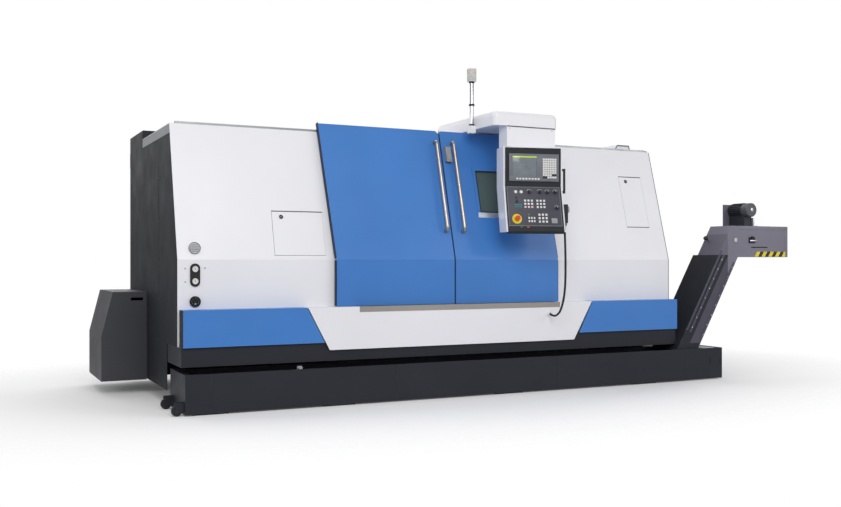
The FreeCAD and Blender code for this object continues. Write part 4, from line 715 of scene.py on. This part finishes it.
# ------------------------------------ window, interlock and locks
window_u, window_v = (0.285, 0.705), (up_slope(1.500), up_slope(1.862))
bm = bmesh.new()
frame_of(bm, door_lean, (window_u[0] + 0.010, window_u[1] - 0.010),
         (window_v[0] + 0.010, window_v[1] - 0.010), 0.011, (-0.0078, 0.0035), 0.002)
piece("window_gasket", bm, rubber, "right_sliding_door")
plates("window_sill_strip", pale_steel, door_lean,
       [((window_u[0] - 0.024, window_u[1] + 0.024), (window_v[0] - 0.046, window_v[0] - 0.001),
         (-0.001, 0.0072), 0.0015)], body="right_sliding_door")

block_v = (up_slope(1.925) - 0.001, up_slope(2.045) + 0.001)
plates("interlock_cover", grey_plastic, door_lean,
       [((0.0155, 0.0645), block_v, (0.001, 0.0345), 0.004),
        ((0.022, 0.058), (block_v[0] + 0.012, block_v[0] + 0.052), (0.034, 0.038), 0.0015)],
       body="right_sliding_door")

# Quarter-turn locks of the access doors, with their keyholes
for body, door_left, z in (("left_access_door", -1.519, 1.431), ("right_access_door", 1.840, 1.829)):
    u, v = door_left + 0.072, up_slope(z)
    rounds(body + "_lock", black_plastic, cover_lean, [(u, v)],
           [(0.0165, 0.0004), (0.0165, 0.0022), (0.0150, 0.0040), (0.0098, 0.0046)], body=body)
    bm = bmesh.new()
    turned(bm, cover_lean, u, v, [(0.0045, 0.0040), (0.0045, 0.0050), (0.0040, 0.0052)], 20)
    plate(bm, cover_lean, about(u, 0.0014), (v - 0.0075, v + 0.0005), (0.0040, 0.0052), 0)
    piece(body + "_keyhole", bm, sheet_steel, body)

# ------------------------------------ signal lamp and overhead arm
lamp = level(0, 0.226, -0.909)
LENS_FOOT, LENS_PITCH, LENS_HEIGHT, RIB_PITCH = 2.606, 0.034, 0.0325, 0.0041
rounds("lamp_pole", ground_steel, lamp, [(0, 0)],
       [(0.0184, 2.228), (0.0184, 2.602), (0.0180, 2.603)], 32)
bm = bmesh.new()
for z in (2.228, 2.398, 2.590):
    turned(bm, lamp, 0, 0, [(0.0225, z), (0.0240, z + 0.002), (0.0240, z + 0.014), (0.0225, z + 0.016)], 32)
piece("lamp_collars", bm, black_plastic)
for i, (name, colour) in enumerate((("green", rgb(196, 206, 200)), ("amber", rgb(212, 208, 200)),
                                    ("red", rgb(214, 204, 204)))):
    low = LENS_FOOT + i * LENS_PITCH
    outline = []
    for k in range(8):
        z = low + k * RIB_PITCH
        outline += [(0.0392, z), (0.0400, z + 0.002)]
    outline.append((0.0392, low + LENS_HEIGHT))
    rounds("lamp_lens_" + name, plastic("lens_" + name, colour, 0.18, 300, 0.05),
           lamp, [(0, 0)], outline, 48)

arm_front = upright(-1.240)
# Grey line as painted shade in the gap along the arm's lower edge
plates("arm_seam_shade", painted_edge_shade, arm_front,
       [((0.374, 0.840), (2.1940, 2.2035), (-0.002, 0.0015), 0.0005)])
rounds("hanger_screws", ground_steel, arm_front, ((0.400, 2.182), (0.810, 2.182)),
       knob_outline(0.0055, 0.0035, 0.0, 0.001), 18)

# ------------------------------------ painted shade along the cowl's edges, the access doors' seams and the right cover's edge
cowl_front, cowl_v, trim_h = upright(-0.640), (2.125, 2.1905), (-0.001, 0.0015)
# Grey strips as painted shade along the cowl's front edges
bm = bmesh.new()
slanted_bar(bm, cowl_front, 1.906, cowl_v, 0.010, 0.0445, trim_h)
slanted_bar(bm, cowl_front, 2.099, cowl_v, 0.010, -0.0220, trim_h)
plate(bm, cowl_front, (1.955, 2.083), (2.1795, 2.1905), trim_h, 0)
plate(bm, cowl_front, (2.212, 2.247), (2.1245, 2.1370), (0.062, 0.070), 0.003)
piece("cowl_edge_shade", bm, painted_edge_shade)
# Grey lines as painted shade in the access doors' seams
plates("access_door_seam_shade", painted_edge_shade, cover_lean,
       [(u, (up_slope(z), up_slope(z + 0.004)), (-0.0005, 0.0014), 0) for u, z in (
           ((-1.5215, -1.1105), 1.474), ((1.8375, 2.0925), 1.400), ((1.8375, 2.0925), 1.872))], smooth=False)
# Grey strip as painted shade along the right cover's turned edge
edge_u, edge_h = (2.2440, 2.2498), (-0.001, 0.0012)
bm = bmesh.new()
plate(bm, cover_front, edge_u, (0.480, WAIST_Z), edge_h, 0)
plate(bm, cover_lean, edge_u, (0, up_slope(2.119)), edge_h, 0)
piece("right_cover_edge_shade", bm, painted_edge_shade, smooth=False)

# ------------------------------------ discharge head, incline and gearmotor
plates("head_seams", head_paint, head_front,
       [((3.562, 3.588), (1.140, 1.388), (-0.001, 0.0022), 0.0010),
        ((2.962, 3.588), (1.391, 1.418), (-0.001, 0.0022), 0.0010)])
bm = bmesh.new()
# Black line as painted shade in the slot above the hazard strip; then the latch's black base, partly painted
# shade of its recess, and its knob
plate(bm, head_front, (3.120, 3.330), (1.218, 1.2275), (-0.001, 0.0026), 0.0008)
plate(bm, head_front, (3.088, 3.168), (1.262, 1.318), (-0.001, 0.005), 0.003)
turned(bm, head_front, 3.128, 1.312, knob_outline(0.015, 0.016, 0.003))
piece("head_latch_and_slot_shade", bm, black_marks_and_shade)
plates("head_latch", ground_steel, head_front,
       [((3.098, 3.186), (1.277, 1.292), (0.004, 0.0125), 0.004)])

TOP_OFFSET = 0.2483  # from the incline's foot to its top face, level
up_incline = (math.cos(INCLINE_RISE), 0, math.sin(INCLINE_RISE))
across_incline = (-math.sin(INCLINE_RISE), 0, math.cos(INCLINE_RISE))
incline_side = basis((INCLINE_X, HEAD_Y, INCLINE_Z), up_incline, across_incline, (0, -1, 0))
incline_top = basis((INCLINE_X - TOP_OFFSET, 0, INCLINE_Z), up_incline, (0, 1, 0), across_incline)
plates("incline_side_flanges", band_paint, incline_side,
       [((0.40, 1.22), v, (-0.001, 0.0035), 0.0015) for v in ((0.006, 0.030), (0.150, 0.172))])
plates("incline_ridge", band_paint, incline_side,
       [((0.40, 1.24), (0.194, 0.214), (-0.001, 0.0035), 0.0015)])
rounds("incline_bolts", ground_steel, incline_side,
       [(0.45 + i * 0.102, v) for v in (0.018, 0.161) for i in range(8)],
       knob_outline(0.0062, 0.004, 0.003, 0.001), 18)
rounds("incline_release_knob", black_plastic, incline_top, [(1.480, -0.925)],
       [(0.008, 0), (0.008, 0.018), (0.019, 0.022), (0.021, 0.034), (0.017, 0.040)], 28)

drum_front = upright(-1.130, MOTOR_X, MOTOR_Z)
rounds("motor_fan_cover", fan_paint, drum_front, [(0, 0)],
       [(0.066, -0.070), (0.066, 0.004), (0.060, 0.010), (0.030, 0.012), (0.012, 0.012)], 48)
rounds("motor_end_boss", ground_steel, drum_front, [(0, 0)],
       [(0.020, 0.010), (0.020, 0.015), (0.017, 0.017)], 32)
plates("motor_foot_bracket", pale_steel, drum_front,
       [((0.044, 0.060), (-0.150, -0.074), (-0.100, -0.016), 0.003),
        ((0.044, 0.100), (-0.154, -0.147), (-0.100, -0.016), 0.002)])
FINS, FOOT_SIDE = 22, -0.55  # no fins where the motor's foot is
drum_axis = basis((MOTOR_X, 0, MOTOR_Z), (1, 0, 0), (0, 0, 1), (0, 1, 0))
bm = bmesh.new()
for i in range(FINS):
    degrees = i * 360 / FINS
    if math.sin(math.radians(degrees)) >= FOOT_SIDE:
        plate(bm, spun(drum_axis, 0, 0, degrees), (0.060, 0.0705), about(0, 0.002), (-1.055, -0.905), 0.001)
piece("motor_fins", bm, motor_paint)

# ------------------------------------ painted shade along the doors' edges and where they meet
EDGE_SHADE_WIDTH, EDGE_SHADE_H = 0.0045, (0.009, 0.048)
for body, start, flare in (("left_sliding_door", -1.045 - 0.0042, -0.046),
                           ("right_sliding_door", 0.991 - 0.0003, 0.0)):
    bm = bmesh.new()
    slanted_bar(bm, cover_lean, start, (0.004, up_slope(2.186)), EDGE_SHADE_WIDTH, flare, EDGE_SHADE_H)
    slanted_bar(bm, cover_front, start, (0.750, 1.098), EDGE_SHADE_WIDTH, 0.0, EDGE_SHADE_H)
    piece(body + "_edge_shade_strip", bm, door_shade_blue, smooth=False, body=body)
# Dark blue strip as painted shade in the gap between the doors
meeting_u, meeting_h = (-0.0157, -0.0080), (-0.001, 0.0014)
bm = bmesh.new()
plate(bm, door_front, meeting_u, (0.745, 1.1045), meeting_h, 0)
plate(bm, door_lean, meeting_u, (0, up_slope(2.188)), meeting_h, 0)
piece("doors_meeting_shade", bm, door_shade_blue, smooth=False, body="right_sliding_door")

# ------------------------------------ skirts' ends, and the tank's plate, painted shade in its slots, and its clamp
tank_front, tank_lid = upright(-1.195), level(0.290)
plates("skirt_end_caps", charcoal, cover_front,
       [((u, u + 0.002), (0.478, 0.741), (0.0006, 0.1192), 0) for u in (-2.2365, 2.2445)], smooth=False)
plates("tank_lid_plate", pale_steel, tank_lid,
       [((2.495, 2.640), (-1.188, -0.850), (-0.001, 0.003), 0.001)])
# Black plates as painted shade in the tank's two slots
plates("tank_slot_shade", black_marks_and_shade, tank_front,
       [((2.576, 2.594), (0.145, 0.205), (-0.001, 0.0012), 0),
        ((2.696, 2.712), (0.135, 0.190), (-0.001, 0.0012), 0)], smooth=False)
plates("tank_seams", base_paint, tank_front,
       [(about(u, 0.003), (0.016, 0.284), (-0.001, 0.0018), 0.0005) for u in (-2.05, -0.60, 0.90, 2.30)],
       smooth=False)
bm = bmesh.new()
turned(bm, tank_lid, -1.378, -1.150, [(0.026, -0.001), (0.026, 0.020), (0.023, 0.024), (0.014, 0.025)], 32)
plate(bm, tank_lid, (-1.392, -1.364), (-1.186, -1.170), (-0.001, 0.014), 0.002)
piece("tank_hose_clamp", bm, ground_steel)

# ------------------------------------ sides, back and roof
rear_face = basis((0, 1.020, 0), (-1, 0, 0), (0, 0, 1), (0, 1, 0))
left_face = basis((-2.250, 0, 0), (0, -1, 0), (0, 0, 1), (-1, 0, 0))
right_face = basis((2.250, 0, 0), (0, 1, 0), (0, 0, 1), (1, 0, 0))
roof_face = level(2.125)
SCREW_RADIUS, SCREW_HEIGHT = 0.0065, 0.0032


def screws(bm, place, spots):
    for u, v in spots:
        turned(bm, place, u, v, [(SCREW_RADIUS, -0.0005), (SCREW_RADIUS, SCREW_HEIGHT * 0.6),
                                 (SCREW_RADIUS * 0.7, SCREW_HEIGHT)], 12)


def seam(bm, place, u, v):
    plate(bm, place, u, v, (-0.001, 0.0009), 0)


def grille(bm, place, u, v, blades):
    """Rim with slanted blades, as pressed louvres show."""
    frame_of(bm, place, u, v, 0.012, (-0.001, 0.006), 0.002)
    step = (v[1] - v[0]) / blades
    tilt = Matrix.Rotation(math.radians(-24), 4, "X")
    size = Matrix.Diagonal((u[1] - u[0], step * 0.72, 0.0014, 1))
    for i in range(blades):
        made = bmesh.ops.create_cube(bm, size=1)["verts"]
        centre = Matrix.Translation(((u[0] + u[1]) / 2, v[0] + i * step + step / 2, 0.0032))
        bmesh.ops.transform(bm, matrix=place @ centre @ tilt @ size, verts=made)


def louvres(name, shadows, body, material, openings):
    """Grilles over the openings (place, u, v, blades), and black sheets behind them as painted shade."""
    bm = bmesh.new()
    for place, u, v, blades in openings:
        grille(bm, place, u, v, blades)
    piece(name, bm, material, body)
    bm = bmesh.new()
    for place, u, v, _ in openings:
        plate(bm, place, u, v, (-0.001, 0.0010), 0)
    piece(shadows, bm, black_marks_and_shade, smooth=False, body=body)


def spaced(start, end, count):
    return [start + (end - start) * i / (count - 1) for i in range(count)]


bm = bmesh.new()
for u in (0.360, -0.510, -1.380):
    seam(bm, rear_face, about(u, 0.0015), (0.125, 2.115))
seam(bm, left_face, (0.328, 0.331), (0.125, 2.100))
seam(bm, right_face, about(0, 0.0015), (0.125, 2.115))
for u in (-0.750, 0.060, 1.300):
    seam(bm, roof_face, about(u, 0.0015), (-0.690, 1.015))
piece("panel_seams", bm, black_marks_and_shade, smooth=False)

bm = bmesh.new()
for place, columns, rows in (
        (rear_face, (1.205, 0.385, 0.335, -0.485, -0.535, -1.355, -1.405, -2.222), spaced(0.165, 2.085, 8)),
        (left_face, (0.303, 0.356, -0.330), spaced(0.165, 2.060, 7)),
        (right_face, (-0.026, 0.026, 0.990), spaced(0.165, 2.085, 8)),
        (right_face, (-0.985,), spaced(0.165, 1.085, 4)),
        (roof_face, (-0.776, -0.724, 0.034, 0.086, 1.274, 1.326, 2.222), spaced(-0.150, 0.990, 5)),
        (roof_face, (-2.222,), [-0.150 + 0.120 * i for i in range(5)])):
    screws(bm, place, [(u, v) for u in columns for v in rows])
piece("panel_screws", bm, dark_steel)

louvres("rear_louvres", "louvre_shadows", "machine", box_paint,
        ((rear_face, (0.560, 1.000), (1.560, 1.860), 12), (rear_face, (-2.040, -1.600), (0.320, 0.620), 12),
         (right_face, (0.300, 0.700), (1.500, 1.760), 10)))

plates("rear_service_cover", box_paint, rear_face,
       [((-0.420, 0.270), (0.420, 1.180), (-0.001, 0.004), 0.003)])
bm = bmesh.new()
for u in (-0.385, 0.235):
    for v in (0.455, 1.145):
        turned(bm, rear_face, u, v, [(0.016, 0.003), (0.016, 0.0065), (0.012, 0.0085)], 28)
        plate(bm, rear_face, about(u, 0.011), about(v, 0.0018), (0.0070, 0.0098), 0.0006)
piece("rear_cover_locks", bm, ground_steel)

louvres("cabinet_fan_grilles", "cabinet_fan_shadows", "cabinet_door", grille_plastic,
        [(rear_face, (1.620, 1.880), v, 9) for v in ((0.300, 0.560), (1.720, 1.980))])
bm = bmesh.new()
for v in (0.900, 1.360):
    turned(bm, rear_face, 1.325, v, [(0.014, -0.0005), (0.014, 0.004), (0.011, 0.006)], 28)
    plate(bm, rear_face, (1.3235, 1.3265), about(v, 0.008), (0.0050, 0.0072), 0)
piece("cabinet_door_locks", bm, ground_steel, "cabinet_door")

# ------------------------------------ devices inside the electrical cabinet
wall = basis((0, 0.363, 0), (-1, 0, 0), (0, 0, 1), (0, 1, 0))
ON_PLATE = 0.0145  # the devices stand on the mounting plate, a little sunk
bm = bmesh.new()
plate(bm, wall, (1.290, 2.190), (0.220, 2.100), (0.012, 0.015), 0)
for u in (1.305, 2.175):
    for v in (0.235, 2.085):
        turned(bm, wall, u, v, [(0.006, -0.0005), (0.006, 0.018), (0.004, 0.021)], 16)
plate(bm, wall, (1.440, 1.600), (0.660, 0.860), (ON_PLATE, 0.130), 0.002)
piece("cabinet_mounting_plate", bm, pale_steel)

duct, duct_h = 0.045, (ON_PLATE, 0.075)
level_ducts = (0.300, 0.560, 0.960, 1.440, 2.010)
bm = bmesh.new()
for v in level_ducts:
    plate(bm, wall, (1.330, 2.150), (v, v + duct), duct_h, 0.002)
for u in (1.330, 2.105):
    for below, above in zip(level_ducts, level_ducts[1:]):
        plate(bm, wall, (u, u + duct), (below + duct, above), duct_h, 0.002)
piece("cabinet_wire_ducts", bm, grey_plastic)

pale, dark = bmesh.new(), bmesh.new()
left = 1.410
for width in (0.090, 0.090, 0.120, 0.120, 0.165):  # drives
    right = left + width
    plate(pale, wall, (left, right - 0.006), (1.540, 1.950), (ON_PLATE, 0.220), 0.003)
    plate(dark, wall, (left + 0.008, right - 0.014), (1.560, 1.700), (0.219, 0.226), 0.002)
    plate(dark, wall, (left + 0.020, right - 0.026), (1.850, 1.900), (0.219, 0.223), 0.001)
    left = right
for i in range(16):  # breakers
    left = 1.420 + 0.036 * i
    plate(pale, wall, (left, left + 0.034), (1.180, 1.270), (ON_PLATE, 0.075), 0.0015)
    plate(pale, wall, (left, left + 0.034), (1.205, 1.245), (0.074, 0.088), 0.0015)
    plate(dark, wall, (left + 0.012, left + 0.022), (1.222, 1.240), (0.087, 0.097), 0.001)
piece("cabinet_drives", pale, cabinet_grey)
for i in range(7):  # contactors
    left = 1.640 + 0.062 * i
    plate(dark, wall, (left, left + 0.056), (0.700, 0.800), (ON_PLATE, 0.085), 0.002)
    plate(dark, wall, (left + 0.006, left + 0.050), (0.720, 0.780), (0.084, 0.105), 0.002)
piece("cabinet_contactors", dark, black_plastic)
terminals = [1.420 + 0.015 * i for i in range(44)]
plates("cabinet_terminals", border_plastic, wall,
       [((u, u + 0.0135), (0.415, 0.475), (ON_PLATE, 0.060), 0.001) for u in terminals])

# ------------------------------------ lifting holes, and the work area's lamp
rounds("lifting_hole_caps", black_plastic, roof_face,
       ((-1.95, -0.20), (1.70, -0.20), (-0.95, 0.80), (1.95, 0.80)),
       [(0.034, -0.0005), (0.034, 0.008), (0.030, 0.011), (0.012, 0.012)], 32)
ceiling = basis((0, 0, 2.121), (1, 0, 0), (0, -1, 0), (0, 0, -1))
plates("work_lamp_housing", pale_steel, ceiling,
       [((-0.56, 0.56), (0.30, 0.40), (-0.001, 0.018), 0.004)])
plates("work_lamp_tube", lamp_glow(), ceiling,
       [((-0.53, 0.53), (0.315, 0.385), (0.016, 0.024), 0.006)])

# ------------------------------------ floor, world and lights
floor_mesh = bpy.data.meshes.new("floor")
floor_mesh.from_pydata([(-40, -30, 0), (40, -30, 0), (40, 60, 0), (-40, 60, 0)], [], [(0, 1, 2, 3)])
floor = bpy.data.objects.new("floor", floor_mesh)
scene.collection.objects.link(floor)
floor_material, tree, shader, where = material_of("floor")
seen = add(tree, "ShaderNodeLightPath", {}).outputs["Is Camera Ray"]
fill(tree, shader, {"Base Color": (0.88, 0.88, 0.89), "Roughness": 0.8, "Specular IOR Level": 0.05,
                    "Emission Color": (1, 1, 1), "Emission Strength": maths(tree, "MULTIPLY", seen, 0.06)})
# The floor fades out into the white world, later along X than along Y
squeezed = add(tree, "ShaderNodeMapping", {"Vector": where, "Scale": (0.62, 1.0, 1.0)}).outputs["Vector"]
distance = add(tree, "ShaderNodeVectorMath", {0: squeezed}, operation="LENGTH").outputs["Value"]
fade = spread(tree, distance, 0, 1, 1.8, 3.3)
clear = add(tree, "ShaderNodeBsdfTransparent", {})
blend = add(tree, "ShaderNodeMixShader", {0: fade, 1: shader.outputs[0], 2: clear.outputs[0]})
fill(tree, tree.nodes["Material Output"], {"Surface": blend.outputs[0]})
floor_mesh.materials.append(floor_material)

# The world is white where it is seen, and gives less light than that
world = bpy.data.worlds.new("studio")
scene.world = world
world.use_nodes = True
tree = world.node_tree
path = add(tree, "ShaderNodeLightPath", {}).outputs
seen = maths(tree, "ADD", path["Is Camera Ray"], path["Is Transmission Ray"], use_clamp=True)
fill(tree, tree.nodes["Background"], {"Color": (1, 1, 1), "Strength": spread(tree, seen, 0.43, 1.0, 0, 1)})


def area(name, place, target, size, power):
    data = bpy.data.lights.new(name, "AREA")
    data.shape = "RECTANGLE"
    data.size, data.size_y = size
    data.energy = power
    light = bpy.data.objects.new(name, data)
    light.location = place
    light.rotation_euler = (Vector(target) - Vector(place)).to_track_quat("-Z", "Y").to_euler()
    scene.collection.objects.link(light)


area("key", (-2.5, -8.0, 5.5), (0, -0.5, 1.0), (6, 4), 330)
area("fill", (6.0, -6.5, 3.5), (0.8, -0.5, 1.0), (5, 4), 110)
area("left", (-8.5, -2.2, 3.4), (0.4, -1.2, 1.6), (4, 3), 100)
area("top", (0, 2.6, 7.0), (0, -0.8, 0.0), (8, 3), 160)
area("rear", (-1.5, 9.0, 4.2), (0, 1.0, 1.0), (7, 4), 150)
